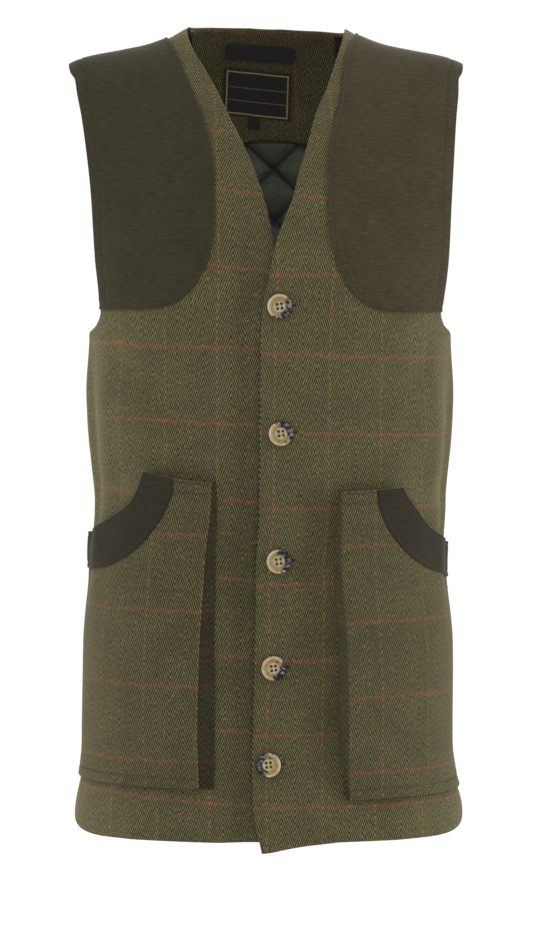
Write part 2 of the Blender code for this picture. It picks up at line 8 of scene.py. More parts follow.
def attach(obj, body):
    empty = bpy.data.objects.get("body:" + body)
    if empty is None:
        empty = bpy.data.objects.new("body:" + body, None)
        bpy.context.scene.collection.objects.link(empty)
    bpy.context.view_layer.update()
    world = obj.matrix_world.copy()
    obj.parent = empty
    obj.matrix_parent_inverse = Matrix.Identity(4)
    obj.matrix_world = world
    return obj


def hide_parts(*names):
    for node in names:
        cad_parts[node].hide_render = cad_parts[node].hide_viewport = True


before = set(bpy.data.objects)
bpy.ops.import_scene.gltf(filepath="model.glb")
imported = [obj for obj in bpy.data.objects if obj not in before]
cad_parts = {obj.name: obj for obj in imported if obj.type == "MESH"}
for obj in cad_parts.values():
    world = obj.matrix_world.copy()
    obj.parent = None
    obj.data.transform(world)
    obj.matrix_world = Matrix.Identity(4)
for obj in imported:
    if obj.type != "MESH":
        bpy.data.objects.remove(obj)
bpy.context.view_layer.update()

# Studio: a camera level with the chest, 3.5 m away, a white floor well below the vest, and four
# soft boxes: one in front, one behind and two that graze the sides.
EYE = Vector((-0.0031, -3.5, -0.222))
AIM = Vector((-0.0031, 0.0, -0.3846))
LENS = 154.1
FLOOR_HEIGHT = -1.45
FLOOR_REACH = 14.0
SURROUND_STRENGTH = 1.02

camera = bpy.data.objects.new("camera", bpy.data.cameras.new("camera"))
bpy.context.scene.collection.objects.link(camera)
camera.location = EYE
camera.rotation_euler = (AIM - EYE).to_track_quat("-Z", "Y").to_euler()
camera.data.sensor_width = 36.0
camera.data.lens = LENS
camera.data.clip_end = 100.0
bpy.context.scene.camera = camera
bpy.context.scene.view_settings.view_transform = "Standard"

world = bpy.data.worlds.new("studio")
bpy.context.scene.world = world
world.use_nodes = True
surround = world.node_tree.nodes["Background"].inputs
surround["Color"].default_value = (1.0, 1.0, 1.0, 1.0)
surround["Strength"].default_value = SURROUND_STRENGTH


def studio_light(name, place, aim, width, height, power):
    """A soft box that faces a point."""
    data = bpy.data.lights.new(name, "AREA")
    data.shape = "RECTANGLE"
    data.size = width
    data.size_y = height
    data.energy = power
    lamp = bpy.data.objects.new(name, data)
    bpy.context.scene.collection.objects.link(lamp)
    lamp.location = place
    lamp.rotation_euler = (Vector(aim) - Vector(place)).to_track_quat("-Z", "Y").to_euler()


studio_light("front_box", (-0.6, -2.0, 1.9), (0, 0, -0.30), 1.0, 1.0, 29)
studio_light("left_strip", (-2.2, -0.7, -0.1), (0, 0, -0.35), 0.6, 2.0, 22)
studio_light("right_strip", (2.2, -0.6, -0.1), (0, 0, -0.35), 0.6, 2.0, 38)
studio_light("back_box", (0.5, 3.0, 1.2), (0, 0, -0.35), 1.4, 1.4, 30)

floor_mesh = bpy.data.meshes.new("floor")
floor_mesh.from_pydata(
    [(x * FLOOR_REACH, y * FLOOR_REACH, FLOOR_HEIGHT) for x, y in ((-1, -1), (1, -1), (1, 1), (-1, 1))],
    [], [(0, 1, 2, 3)],
)
floor = bpy.data.objects.new("floor", floor_mesh)
bpy.context.scene.collection.objects.link(floor)
floor_paint = bpy.data.materials.new("white_floor")
floor_paint.use_nodes = True
paint = floor_paint.node_tree.nodes["Principled BSDF"].inputs
paint["Base Color"].default_value = (1.0, 1.0, 1.0, 1.0)
paint["Roughness"].default_value = 1.0
paint["Specular IOR Level"].default_value = 0.0
floor.data.materials.append(floor_paint)


# Fronts: two thin shells of olive wool tweed with a satin lining inside. The wearer's left one
# laps over the right one; their edges are turned in, and they are sewn to the back at the
# shoulders and sides.

# The weave is a herringbone with brick-red lines across and rust lines down, all placed by the
# cloth's own coordinates, u across and v up, in metres.
HERRINGBONE = 0.01175
HERRINGBONE_START = -0.0046
TWILL_PITCH = 0.00188
TWILL_SLOPE = 2.75
RED_PITCH = 0.0650
RED_HALF_WIDTH = 0.0011
RUST_PITCH = 0.0470
RUST_START = 0.0070
RUST_HALF_WIDTH = 0.0008
OLIVE_YARN = (0.134, 0.117, 0.046)
BROWN_YARN = (0.122, 0.092, 0.056)
GREEN_YARN = (0.090, 0.096, 0.043)
DARK_YARN = (0.0170, 0.0158, 0.0065)
PALE_FLECK = (0.235, 0.205, 0.105)
DULL_PATCH = (0.020, 0.018, 0.008)
RED_YARN = (0.215, 0.060, 0.040)
RUST_YARN = (0.200, 0.098, 0.026)
TWEED_SHEEN_TINT = (0.92, 0.86, 0.50)


class Nodes:
    """A material under construction; each method adds one node and gives back its output."""

    def __init__(self, name):
        self.material = bpy.data.materials.new(name)
        self.material.use_nodes = True
        self.tree = self.material.node_tree
        self.surface = self.tree.nodes["Principled BSDF"]

    def feed(self, socket, value):
        """Link an output to a socket, or set a plain value on it."""
        if isinstance(value, bpy.types.NodeSocket):
            self.tree.links.new(value, socket)
        elif isinstance(value, tuple) and len(value) == 3 and len(socket.default_value) == 4:
            socket.default_value = (*value, 1.0)
        else:
            socket.default_value = value

    def finish(self, colour, roughness, specular, sheen=0.0, sheen_roughness=0.4, sheen_tint=(1.0, 1.0, 1.0)):
        """Set the surface, and give back the finished material."""
        self.feed(self.surface.inputs["Base Color"], colour)
        self.feed(self.surface.inputs["Roughness"], roughness)
        self.feed(self.surface.inputs["Specular IOR Level"], specular)
        self.feed(self.surface.inputs["Sheen Weight"], sheen)
        self.feed(self.surface.inputs["Sheen Roughness"], sheen_roughness)
        self.feed(self.surface.inputs["Sheen Tint"], sheen_tint)
        return self.material

    def math(self, operation, a, b=0.0, c=0.0):
        """One step of arithmetic on numbers or outputs."""
        node = self.tree.nodes.new("ShaderNodeMath")
        node.operation = operation
        for socket, value in zip(node.inputs, (a, b, c)):
            self.feed(socket, value)
        return node.outputs[0]

    def along(self, attribute_name):
        """A piece's own coordinates: the vector, then its three parts."""
        attribute = self.tree.nodes.new("ShaderNodeAttribute")
        attribute.attribute_name = attribute_name
        split = self.tree.nodes.new("ShaderNodeSeparateXYZ")
        self.tree.links.new(attribute.outputs["Vector"], split.inputs[0])
        return attribute.outputs["Vector"], split.outputs[0], split.outputs[1], split.outputs[2]

    def stretched(self, vector, scale):
        """Coordinates scaled by a share along each axis."""
        node = self.tree.nodes.new("ShaderNodeVectorMath")
        node.operation = "MULTIPLY"
        self.feed(node.inputs[0], vector)
        node.inputs[1].default_value = scale
        return node.outputs[0]

    def noise(self, vector, scale, detail=2.0, roughness=0.5):
        """Soft uneven shading, from 0 to 1."""
        node = self.tree.nodes.new("ShaderNodeTexNoise")
        self.feed(node.inputs["Vector"], vector)
        node.inputs["Scale"].default_value = scale
        node.inputs["Detail"].default_value = detail
        node.inputs["Roughness"].default_value = roughness
        return node.outputs["Fac"]

    def ramp(self, value, low, high, start=0.0, end=1.0):
        """A smooth step from start to end, as the value goes from low to high."""
        node = self.tree.nodes.new("ShaderNodeMapRange")
        node.interpolation_type = "SMOOTHSTEP"
        self.feed(node.inputs["Value"], value)
        node.inputs["From Min"].default_value = low
        node.inputs["From Max"].default_value = high
        node.inputs["To Min"].default_value = start
        node.inputs["To Max"].default_value = end
        return node.outputs["Result"]

    def mix(self, share, a, b):
        """A colour between a and b, by share."""
        node = self.tree.nodes.new("ShaderNodeMix")
        node.data_type = "RGBA"
        self.feed(node.inputs["Factor"], share)
        self.feed(node.inputs[6], a)
        self.feed(node.inputs[7], b)
        return node.outputs[2]

    def bump(self, height, distance, strength=1.0):
        """Raise the surface by this height, in shading alone."""
        node = self.tree.nodes.new("ShaderNodeBump")
        node.inputs["Distance"].default_value = distance
        node.inputs["Strength"].default_value = strength
        self.feed(node.inputs["Height"], height)
        self.tree.links.new(node.outputs[0], self.surface.inputs["Normal"])


def shaded(colour, shade):
    """A colour made darker or lighter."""
    return tuple(part * shade for part in colour)


def tweed(name, shade=1.0, sheen=0.24, red_pitch=RED_PITCH):
    """Olive herringbone tweed with its two sets of thin lines. A shade below 1 makes the whole copy darker,
    as painted shade.
    """
    look = Nodes(name)
    cloth, u, v, _ = look.along("cloth")
    clumps = look.noise(look.stretched(cloth, (1.0, 0.55, 1.0)), 560.0, 2.0, 0.6)
    drift = look.noise(cloth, 150.0, 2.0)
    hue = look.noise(cloth, 430.0, 1.0)
    worn = look.ramp(look.noise(cloth, 210.0, 2.0), 0.36, 0.62, 0.50, 1.0)
    zigzag = look.math("PINGPONG", look.math("SUBTRACT", u, HERRINGBONE_START), HERRINGBONE)
    climb = look.math("MULTIPLY_ADD", drift, 0.0012, look.math("DIVIDE", v, TWILL_SLOPE))
    phase = look.math("DIVIDE", look.math("ADD", zigzag, climb), TWILL_PITCH)
    wave = look.math("SINE", look.math("MULTIPLY", phase, 2 * math.pi))
    wool = look.math("ADD", wave, look.math("MULTIPLY", look.math("SUBTRACT", clumps, 0.5), 2.6))
    twill = look.ramp(wool, -0.85, 1.35)
    light = look.mix(look.ramp(hue, 0.50, 0.60), shaded(OLIVE_YARN, shade), shaded(BROWN_YARN, shade))
    light = look.mix(look.ramp(hue, 0.47, 0.38), light, shaded(GREEN_YARN, shade))
    colour = look.mix(twill, shaded(DARK_YARN, shade), light)
    flecks = look.ramp(look.noise(look.stretched(cloth, (1.0, 0.5, 1.0)), 640.0, 2.0, 0.6), 0.60, 0.72)
    colour = look.mix(look.math("MULTIPLY", flecks, 0.45), colour, shaded(PALE_FLECK, shade))
    uneven = look.ramp(look.noise(cloth, 24.0, 3.0), 0.35, 0.65, 0.0, 0.20)
    colour = look.mix(uneven, colour, shaded(DULL_PATCH, shade))

    def lined(place, fray, half_width, least, most, yarn):
        """The cloth with a set of thin lines, frayed, worn and broken up by the twill."""
        frayed = look.math("MULTIPLY_ADD", look.math("SUBTRACT", hue, 0.5), fray, place)
        line = look.math("MULTIPLY", look.ramp(frayed, half_width * 1.7, half_width * 0.3), worn)
        line = look.math("MULTIPLY", line, look.ramp(wool, -1.2, 1.1, least, most))
        return look.mix(line, colour, shaded(yarn, shade))

    up = look.math("PINGPONG", v, red_pitch / 2)
    colour = lined(up, 0.0050, RED_HALF_WIDTH, 0.18, 0.66, RED_YARN)
    across = look.math("PINGPONG", look.math("SUBTRACT", u, RUST_START), RUST_PITCH / 2)
    colour = lined(across, 0.0035, RUST_HALF_WIDTH, 0.10, 0.56, RUST_YARN)
    look.bump(look.math("MULTIPLY_ADD", clumps, 0.6, twill), 0.00045, 0.9)
    return look.finish(colour, 0.92, 0.12, sheen, 0.38, TWEED_SHEEN_TINT)


# The body's form is the one that part.py gives its solids, a few millimetres closer to the photo.
# A face is -1 for the front and +1 for the back; a side is +1 for the wearer's left.
CHEST = -0.250
UNDERARM = -0.270
HEM = -0.7025
VENT_TOP = -0.655
FLATNESS = 0.80
SEAM_GAP = 0.0003
# Columns: height, half width, lean to one side, front depth, back depth.
RINGS = np.array((
    (-0.7100, 0.1720, -0.0015, 0.1210, 0.1130),
    (-0.6840, 0.1705, -0.0012, 0.1210, 0.1130),
    (-0.6550, 0.1640, -0.0022, 0.1205, 0.1125),
    (-0.6270, 0.1605, -0.0026, 0.1200, 0.1120),
    (-0.5390, 0.1595, -0.0018, 0.1190, 0.1110),
    (-0.4680, 0.1532, -0.0022, 0.1180, 0.1080),
    (-0.4150, 0.1532, 0.0004, 0.1180, 0.1060),
    (-0.3630, 0.1575, 0.0004, 0.1210, 0.1090),
    (-0.3150, 0.1602, 0.0002, 0.1250, 0.1140),
    (-0.2700, 0.1585, 0.0000, 0.1270, 0.1170),
    (-0.2200, 0.1680, 0.0016, 0.1270, 0.1180),
    (-0.1500, 0.1840, 0.0012, 0.1270, 0.1180),
    (-0.0800, 0.1960, -0.0010, 0.1270, 0.1180),
    (-0.0300, 0.2000, -0.0040, 0.1270, 0.1180),
))
# Columns: out, height.
SHOULDER = np.array((
    (0.0000, 0.0212), (0.0120, 0.0208), (0.0225, 0.0188), (0.0450, 0.0113), (0.0705, -0.0026),
    (0.0850, -0.0108), (0.1040, -0.0178), (0.1250, -0.0222), (0.1570, -0.0285), (0.1700, -0.0335),
    (0.1800, -0.0390),
))
# Columns of this and of each later edge: height, out.
ARMHOLE = np.array((
    (-0.2700, 0.1585), (-0.2660, 0.1560), (-0.2614, 0.1512), (-0.2500, 0.1474), (-0.2390, 0.1482),
    (-0.2040, 0.1520), (-0.1510, 0.1550), (-0.1160, 0.1580), (-0.0810, 0.1620), (-0.0630, 0.1650),
    (-0.0480, 0.1670), (-0.0400, 0.1715), (-0.0300, 0.1730),
))
CORNER_START = math.radians(55.0)
CORNER_RISE = 0.0200
VENT_HALF_GAP = 0.0022
VENT_RAMP = 0.030


def read(table, place, column=1):
    """A column's value where the first column has these places, on a curve that never overshoots."""
    x, y = table[:, 0], table[:, column]
    place = np.clip(np.asarray(place, float), x[0], x[-1])
    width = np.diff(x)
    rate = np.diff(y) / width
    both = rate[:-1] + rate[1:]
    product = rate[:-1] * rate[1:]
    bend = np.where(product > 0, 2 * product / np.where(both == 0, 1, both), 0)
    slope = np.concatenate(([rate[0]], bend, [rate[-1]]))
    i = np.clip(np.searchsorted(x, place, side="right") - 1, 0, len(width) - 1)
    t = (place - x[i]) / width[i]
    return (
        y[i] * (1 + 2 * t) * (1 - t) ** 2 + slope[i] * width[i] * t * (1 - t) ** 2
        + y[i + 1] * t * t * (3 - 2 * t) + slope[i + 1] * width[i] * t * t * (t - 1)
    )


def ease(value):
    """A soft step from 0 to 1."""
    value = np.clip(value, 0.0, 1.0)
    return value * value * (3 - 2 * value)


def height_at(out, level):
    """Height of a place: level is metres below the chest, or an angle over the shoulder above it."""
    over = CHEST + (read(SHOULDER, np.abs(out)) - CHEST) * np.sin(np.maximum(level, 0))
    return np.where(level <= 0, CHEST + level, over)


def level_at(out, height):
    """The level of a place at this height."""
    share = np.clip((height - CHEST) / (read(SHOULDER, np.abs(out)) - CHEST), 0, 1)
    return np.where(height <= CHEST, height - CHEST, np.arcsin(share))


def turn_at(out, level):
    """The angle round the body of a place this far out."""
    return np.arcsin(np.clip(out / read(RINGS, height_at(out, level)), -1, 1))


def body(face, turn, level):
    """Points on the outside of the body."""
    turn, level = np.broadcast_arrays(np.asarray(turn, float), np.asarray(level, float))
    height = height_at(0.1 * np.sin(turn), level)
    for _ in range(6):
        out = read(RINGS, height) * np.sin(turn)
        height = height_at(out, level)
    depth = read(RINGS, height, 3 if face < 0 else 4)
    swell = np.copysign(np.abs(np.cos(turn)) ** FLATNESS, np.cos(turn))
    over = np.where(level > 0, np.cos(level), 1.0)
    near_side = ease((np.abs(turn) - CORNER_START) / (math.pi / 2 - CORNER_START))
    vent = ease((VENT_TOP - height) / VENT_RAMP) * near_side
    away = depth * swell * over + SEAM_GAP / 2 + VENT_HALF_GAP * vent
    return np.stack((out + read(RINGS, height, 2), face * away, height), -1)


def outward(face, turn, level):
    """Directions straight out of the body."""
    step = 0.002
    across = body(face, turn + step, level) - body(face, turn - step, level)
    up = body(face, turn, level + step) - body(face, turn, level - step)
    normal = np.cross(across, up) * -face
    return normal / np.linalg.norm(normal, axis=-1, keepdims=True)


def edge_out(table, level):
    """How far out an edge lies on the row at this level."""
    out = np.full(np.shape(level), 0.1)
    for _ in range(12):
        out = read(table, height_at(out, level))
    return out


def up_the_cloth(face, turn, level):
    """Length of cloth from the chest line up to a place, and the height below it."""
    out = body(face, turn, level)[..., 0]
    rise = read(SHOULDER, np.abs(out)) - CHEST
    depth = read(RINGS, CHEST, 3 if face < 0 else 4) * np.abs(np.cos(turn)) ** FLATNESS
    steps = 24
    total = np.zeros(np.shape(level))
    for i in range(steps):
        angle = np.maximum(level, 0) * (i + 0.5) / steps
        total += np.hypot(rise * np.cos(angle), depth * np.sin(angle)) * np.maximum(level, 0) / steps
    return np.where(level > 0, CHEST + total, CHEST + level)


def round_the_cloth(face, turn, level):
    """Length of cloth from the middle of the body round to a place."""
    steps = 16
    total = np.zeros(np.shape(turn))
    before = body(face, turn * 0, level)
    for i in range(1, steps + 1):
        after = body(face, turn * i / steps, level)
        total += np.linalg.norm((after - before)[..., :2], axis=-1)
        before = after
    return np.copysign(total, turn)


# Where the red lines cross the cloth: height up the cloth, then which line it is.
RED_LINES = np.array((
    (-0.7350, -8), (-0.6724, -7), (-0.6104, -6), (-0.5465, -5), (-0.4814, -4), (-0.4168, -3),
    (-0.3509, -2), (-0.2845, -1), (-0.2178, 0), (-0.1515, 1), (-0.0976, 2), (-0.0540, 3),
    (-0.0032, 4), (0.0600, 5), (0.125, 6),
), float)
# How far each front's lines are drawn up at its side: height, metres.
SIDE_DRAW = {
    -1: np.array((
        (-0.68, 0.009), (-0.4168, 0.011), (-0.3509, 0.009), (-0.2845, 0.0045), (-0.2178, 0.011),
        (-0.05, 0.003),
    )),
    1: np.array((
        (-0.68, 0.001), (-0.4168, 0.0), (-0.3509, -0.004), (-0.2845, -0.004), (-0.2178, 0.0), (-0.05, 0.0),
    )),
}
SIDE_REACH = 0.15
# How much higher each front's lines lie above the pockets.
FRONT_RISE = {-1: 0.0031, 1: 0.0}
FRONT_RISE_HEIGHT = -0.51
FRONT_RISE_RAMP = 0.08
# How the weave of each front leans: its shift, the height under which it leans, and its slope.
FRONT_LEAN = {-1: (0.0055, -0.42, 0.020), 1: (0.0, -0.08, 0.0135)}


def threads(up):
    """The cloth's own height, in which the red lines are evenly spaced."""
    return read(RED_LINES, up) * RED_PITCH


def hang(name, outer, inner, cloth, materials, inner_slot=0):
    """A closed shell of cloth between two grids of points, with its own coordinates on it."""
    rows, columns = outer.shape[:2]
    points = np.concatenate((outer.reshape(-1, 3), inner.reshape(-1, 3)))
    number = np.arange(rows * columns).reshape(rows, columns)
    a, b, c, d = number[:-1, :-1], number[:-1, 1:], number[1:, 1:], number[1:, :-1]
    front = np.stack((a, d, c, b), -1).reshape(-1, 4)
    back = np.stack((a, b, c, d), -1).reshape(-1, 4) + rows * columns
    ring = np.concatenate((number[:, 0], number[-1, 1:], number[::-1, -1][1:], number[0, ::-1][1:-1]))
    after = np.roll(ring, -1)
    rim = np.stack((ring, ring + rows * columns, after + rows * columns, after), -1)
    faces = np.concatenate((front, back, rim))
    mesh = bpy.data.meshes.new(name)
    mesh.from_pydata(points.tolist(), [], faces.tolist())
    i, j = rows // 2, columns // 2
    normal = np.cross(outer[i + 1, j] - outer[i, j], outer[i, j + 1] - outer[i, j])
    if normal.dot(outer[i, j] - inner[i, j]) < 0:
        mesh.flip_normals()
    flat = np.zeros((len(points), 3))
    flat[:, :cloth.shape[-1]] = np.tile(cloth.reshape(rows * columns, -1), (2, 1))
    mesh.attributes.new("cloth", "FLOAT_VECTOR", "POINT").data.foreach_set("vector", flat.ravel())
    slots = np.zeros(len(faces), int)
    slots[len(front):len(front) + len(back)] = inner_slot
    mesh.polygons.foreach_set("material_index", slots)
    for material in materials:
        mesh.materials.append(material)
    mesh.shade_smooth()
    mesh.set_sharp_from_angle(angle=math.radians(60))
    piece = bpy.data.objects.new(name, mesh)
    bpy.context.scene.collection.objects.link(piece)
    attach(piece, "root")
    return piece


def from_edges(grid):
    """Distance of each grid point from the first column, last column, first row and last row."""
    across = np.linalg.norm(np.diff(grid, axis=1), axis=-1)
    down = np.linalg.norm(np.diff(grid, axis=0), axis=-1)
    rows, columns = grid.shape[:2]
    left = np.concatenate((np.zeros((rows, 1)), np.cumsum(across, 1)), 1)
    top = np.concatenate((np.zeros((1, columns)), np.cumsum(down, 0)), 0)
    return left, left[:, -1:] - left, top, top[-1:] - top


def turned_in(outer, inner, distance, radius):
    """Outer and inner grids drawn together towards an edge, as a folded edge of cloth is."""
    share = np.clip(distance / radius, 0, 1)
    full = (0.25 + 0.75 * np.sqrt(1 - (1 - share) ** 2))[..., None]
    middle = (outer + inner) / 2
    half = (outer - inner) / 2 * full
    return middle + half, middle - half


# Soft troughs and ridges where the worn cloth pulls from the buttons, under the arms and over the
# hips. Columns: from round, from height, to round, to height, half width, rise.
FRONT_CREASES = (
    (-0.150, -0.290, -0.070, -0.330, 0.012, -0.0022),
    (-0.165, -0.330, -0.095, -0.345, 0.014, 0.0020),
    (-0.203, -0.300, -0.206, -0.475, 0.006, 0.0025),
    (-0.186, -0.315, -0.190, -0.470, 0.009, -0.0028),
    (-0.158, -0.300, -0.166, -0.480, 0.012, 0.0022),
    (0.203, -0.310, 0.205, -0.480, 0.007, 0.0017),
    (0.188, -0.315, 0.190, -0.470, 0.010, -0.0028),
    (0.160, -0.300, 0.164, -0.480, 0.013, 0.0028),
    (0.155, -0.292, 0.085, -0.340, 0.013, -0.0021),
    (0.170, -0.345, 0.110, -0.372, 0.013, 0.0018),
    (-0.030, -0.255, -0.075, -0.300, 0.012, 0.0013),
    (0.030, -0.262, 0.085, -0.310, 0.013, 0.0014),
    (-0.180, -0.400, -0.120, -0.385, 0.012, -0.0020),
    (0.185, -0.405, 0.125, -0.395, 0.012, -0.0020),
    (-0.020, -0.395, -0.045, -0.480, 0.011, -0.0011),
    (0.032, -0.410, 0.048, -0.500, 0.010, -0.0011),
    (-0.028, -0.560, -0.035, -0.690, 0.013, 0.0017),
    (0.034, -0.580, 0.045, -0.700, 0.014, 0.0017),
    (-0.110, -0.672, -0.125, -0.702, 0.016, 0.0020),
    (0.125, -0.674, 0.105, -0.702, 0.018, 0.0021),
)


def creased(creases, around, height):
    """How far the creases lift or sink the cloth at these places."""
    total = np.zeros(np.shape(around))
    for from_round, from_height, to_round, to_height, half_width, rise in creases:
        run_x, run_z = to_round - from_round, to_height - from_height
        length = math.hypot(run_x, run_z)
        along = ((around - from_round) * run_x + (height - from_height) * run_z) / length ** 2
        aside = ((around - from_round) * -run_z + (height - from_height) * run_x) / length
        end = ease((along + 0.35) / 0.6) * ease((1.35 - along) / 0.6)
        total += rise * end * np.exp(-((aside / half_width) ** 2))
    return total


# The cut of the fronts. The lap's offset is how far the under front lies inside the lapped one.
TWEED = 0.0024
TWEED_FOLD = 0.0018
LAPPED_EDGE = np.array((
    (-0.7150, -0.0050), (-0.6720, -0.0128), (-0.4940, -0.0102), (-0.3240, -0.0085), (-0.2475, -0.0068),
    (-0.2067, 0.0002), (-0.1862, 0.0046), (-0.1520, 0.0180), (-0.1305, 0.0236), (-0.1143, 0.0293),
    (-0.0751, 0.0421), (-0.0540, 0.0525), (-0.0165, 0.0663), (0.0010, 0.0705),
))
UNDER_EDGE = np.array((
    (-0.7150, -0.0250), (-0.2600, -0.0250), (-0.2350, -0.0220), (-0.2150, -0.0120), (-0.1947, -0.0026),
    (-0.1708, 0.0017), (-0.1263, 0.0145), (-0.0830, 0.0335), (-0.0530, 0.0466), (-0.0125, 0.0670),
    (0.0010, 0.0705),
))
EDGES = {1: LAPPED_EDGE, -1: UNDER_EDGE}
# How far the lapped front's hem dips: out, drop.
HEM_DIP = np.array((
    (-0.0200, 0.0098), (0.0000, 0.0086), (0.0120, 0.0062), (0.0300, 0.0030), (0.0600, 0.0),
))
LAP_OFFSET = TWEED + 0.0048
LAP_FULL = 0.018
LAP_END = 0.046
NEAR_EDGE = np.array((0.0, 0.0025, 0.006, 0.012, 0.022))
NEAR_HEM = np.array((0.0045, 0.0022, 0.0008, 0.0))
NEAR_SHOULDER = np.array((0.0, 0.0015, 0.004, 0.009))
FRONT_COLUMNS = 62
SHOULDER_ROWS = 66
ARM_ROWS = 9
BODY_ROWS = 112


def hem_height(side, turn):
    """Height of the hem, with its rounded corner at the side vent."""
    share = np.clip((np.abs(turn) - CORNER_START) / (math.pi / 2 - CORNER_START), 0, 1)
    rise = CORNER_RISE * (1 - np.sqrt(1 - share * share))
    drop = read(HEM_DIP, RINGS[0, 1] * np.sin(turn)) if side > 0 else 0.0
    return HEM + rise - drop


def shares_across(count):
    """Shares from one edge to the other, closer together at the edges."""
    return np.concatenate((NEAR_EDGE, np.linspace(0, 1, count)[2:-2], 1 - NEAR_EDGE[::-1]))


def shares_down(count):
    """Shares from the underarm down to the hem, closer together at the hem."""
    return np.concatenate((np.linspace(0, 1, count)[:-1], 1 - NEAR_HEM))


def levels_over(count):
    """Levels from the shoulder seam down to the chest, closer together at the seam."""
    return math.pi / 2 * np.concatenate((1 - NEAR_SHOULDER, np.linspace(1, 0, count)[1:]))


def front_grid(side):
    """Each front as grids of turn and level, from the shoulder seam down to the hem."""
    shares = shares_across(FRONT_COLUMNS)
    arm = np.linspace(0, UNDERARM - CHEST, ARM_ROWS + 1)[1:-1]
    above = np.concatenate((levels_over(SHOULDER_ROWS), arm))
    inner = turn_at(edge_out(EDGES[side], above), above)
    outer = turn_at(edge_out(ARMHOLE, above), above)
    upper_turn = inner[:, None] + (outer - inner)[:, None] * shares
    upper_level = np.repeat(above[:, None], len(shares), 1)
    share_down = shares_down(BODY_ROWS)[:, None]
    turn = np.repeat(math.pi / 2 * shares[None, :], len(share_down), 0)
    for _ in range(4):
        level = UNDERARM + (hem_height(side, turn) - UNDERARM) * share_down - CHEST
        inner = turn_at(read(EDGES[side], CHEST + level), level)
        turn = inner + (math.pi / 2 - inner) * shares
    return np.concatenate((upper_turn, turn)), np.concatenate((upper_level, level))


def held_flat(turn, level):
    """Share of a crease left near the side and shoulder seams, which hold the cloth flat."""
    return ease((math.pi / 2 - np.abs(turn)) / 0.12) * ease((math.pi / 2 - level) / 0.4)


def on_front(side, turn, level, lift=0.0, around=None):
    """Points on a front, moved out by lift, with its creases and its lap."""
    point = body(-1, side * turn, level)
    out = body(-1, turn, level)[..., 0]
    if around is None:
        around = round_the_cloth(-1, side * turn, level)
    crease = creased(FRONT_CREASES, around, point[..., 2]) * held_flat(turn, level)
    lap = LAP_OFFSET * ease((LAP_END - out) / (LAP_END - LAP_FULL)) if side < 0 else 0.0
    return point + outward(-1, side * turn, level) * (lift + crease - lap)[..., None]


def front_cloth(side, turn, level, around):
    """The cloth's own coordinates on a front."""
    up = up_the_cloth(-1, turn, level)
    risen = FRONT_RISE[side] * ease((up - FRONT_RISE_HEIGHT) / FRONT_RISE_RAMP)
    drawn = risen + read(SIDE_DRAW[side], up) * (np.abs(around) / SIDE_REACH) ** 0.7
    shift, height, slope = FRONT_LEAN[side]
    across = around + shift + np.clip((height - up) * slope, 0, 1)
    return np.stack((across, threads(up - drawn)), -1)


def satin(name, dark, light, seam_painted_shade=None):
    """Dark green satin, painted lighter and darker by a noise of folds as painted shade and highlight. A seam
    shade darkens it towards the seams and it is painted lighter on the puffs, by the last of its coordinates,
    0 in a seam, 1 on a puff: painted shade and highlight.
    """
    look = Nodes(name)
    cloth, _, _, puff = look.along("cloth")
    folds_and_painted_shade = look.noise(look.stretched(cloth, (1.0, 0.4, 1.0)), 60.0, 3.0)
    # The noise of folds both raises the bump and paints the satin lighter and darker, as painted shade and
    # highlight of its folds.
    colour = look.mix(look.ramp(folds_and_painted_shade, 0.3, 0.7), dark, light)
    if seam_painted_shade:
        # Painted highlight on the puffs' tops, then painted shade towards the quilting seams.
        colour = look.mix(look.ramp(puff, 0.50, 0.98, 0.0, 0.6), colour, light)
        colour = look.mix(look.ramp(puff, 0.08, 0.46), seam_painted_shade, colour)
    fine = look.noise(look.stretched(cloth, (1.0, 0.1, 1.0)), 2600.0, 1.0)
    look.bump(look.math("MULTIPLY_ADD", fine, 0.25, folds_and_painted_shade), 0.0006, 0.6)
    return look.finish(colour, 0.42, 0.24, 0.04, 0.3, (0.92, 1.0, 0.8))


front_tweed = tweed("tweed")
lining_satin = satin("lining_satin", (0.0095, 0.0115, 0.0080), (0.0150, 0.0178, 0.0125))
for side, name in ((1, "front_left"), (-1, "front_right")):
    turn, level = front_grid(side)
    around = round_the_cloth(-1, side * turn, level)
    outer = on_front(side, turn, level, 0.0, around)
    inner = on_front(side, turn, level, -TWEED, around)
    outer, inner = turned_in(outer, inner, np.minimum.reduce(from_edges(outer)), TWEED_FOLD)
    cloth = front_cloth(side, turn, level, around)
    piece = hang(name + "_cloth", outer, inner, cloth, [front_tweed, lining_satin], 1)
    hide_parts(name)


# Back: one shell of the same tweed, cut in one piece from the neck and the shoulder seams to the
# hem, and sewn to the fronts at the shoulders and sides. It creases like them.
NECK_HALF_WIDTH = 0.0705
BACK_NECK_DEPTH = 0.045
YOKE_ANGLE = math.radians(34.5)
BACK_COLUMNS = 108
BACK_CREASES = (
    (-0.150, -0.285, -0.060, -0.335, 0.013, -0.0025),
    (0.155, -0.288, 0.065, -0.345, 0.013, -0.0025),
    (-0.165, -0.350, -0.080, -0.385, 0.015, 0.0024),
    (0.170, -0.355, 0.090, -0.380, 0.014, 0.0022),
    (-0.120, -0.415, -0.020, -0.430, 0.012, -0.0022),
    (0.125, -0.425, 0.015, -0.412, 0.012, -0.0021),
    (-0.060, -0.455, -0.080, -0.640, 0.018, 0.0025),
    (0.070, -0.460, 0.095, -0.660, 0.019, 0.0027),
    (0.005, -0.480, 0.000, -0.690, 0.020, -0.0020),
    (-0.020, -0.060, -0.090, -0.130, 0.020, 0.0017),
    (0.030, -0.065, 0.095, -0.140, 0.020, 0.0017),
)


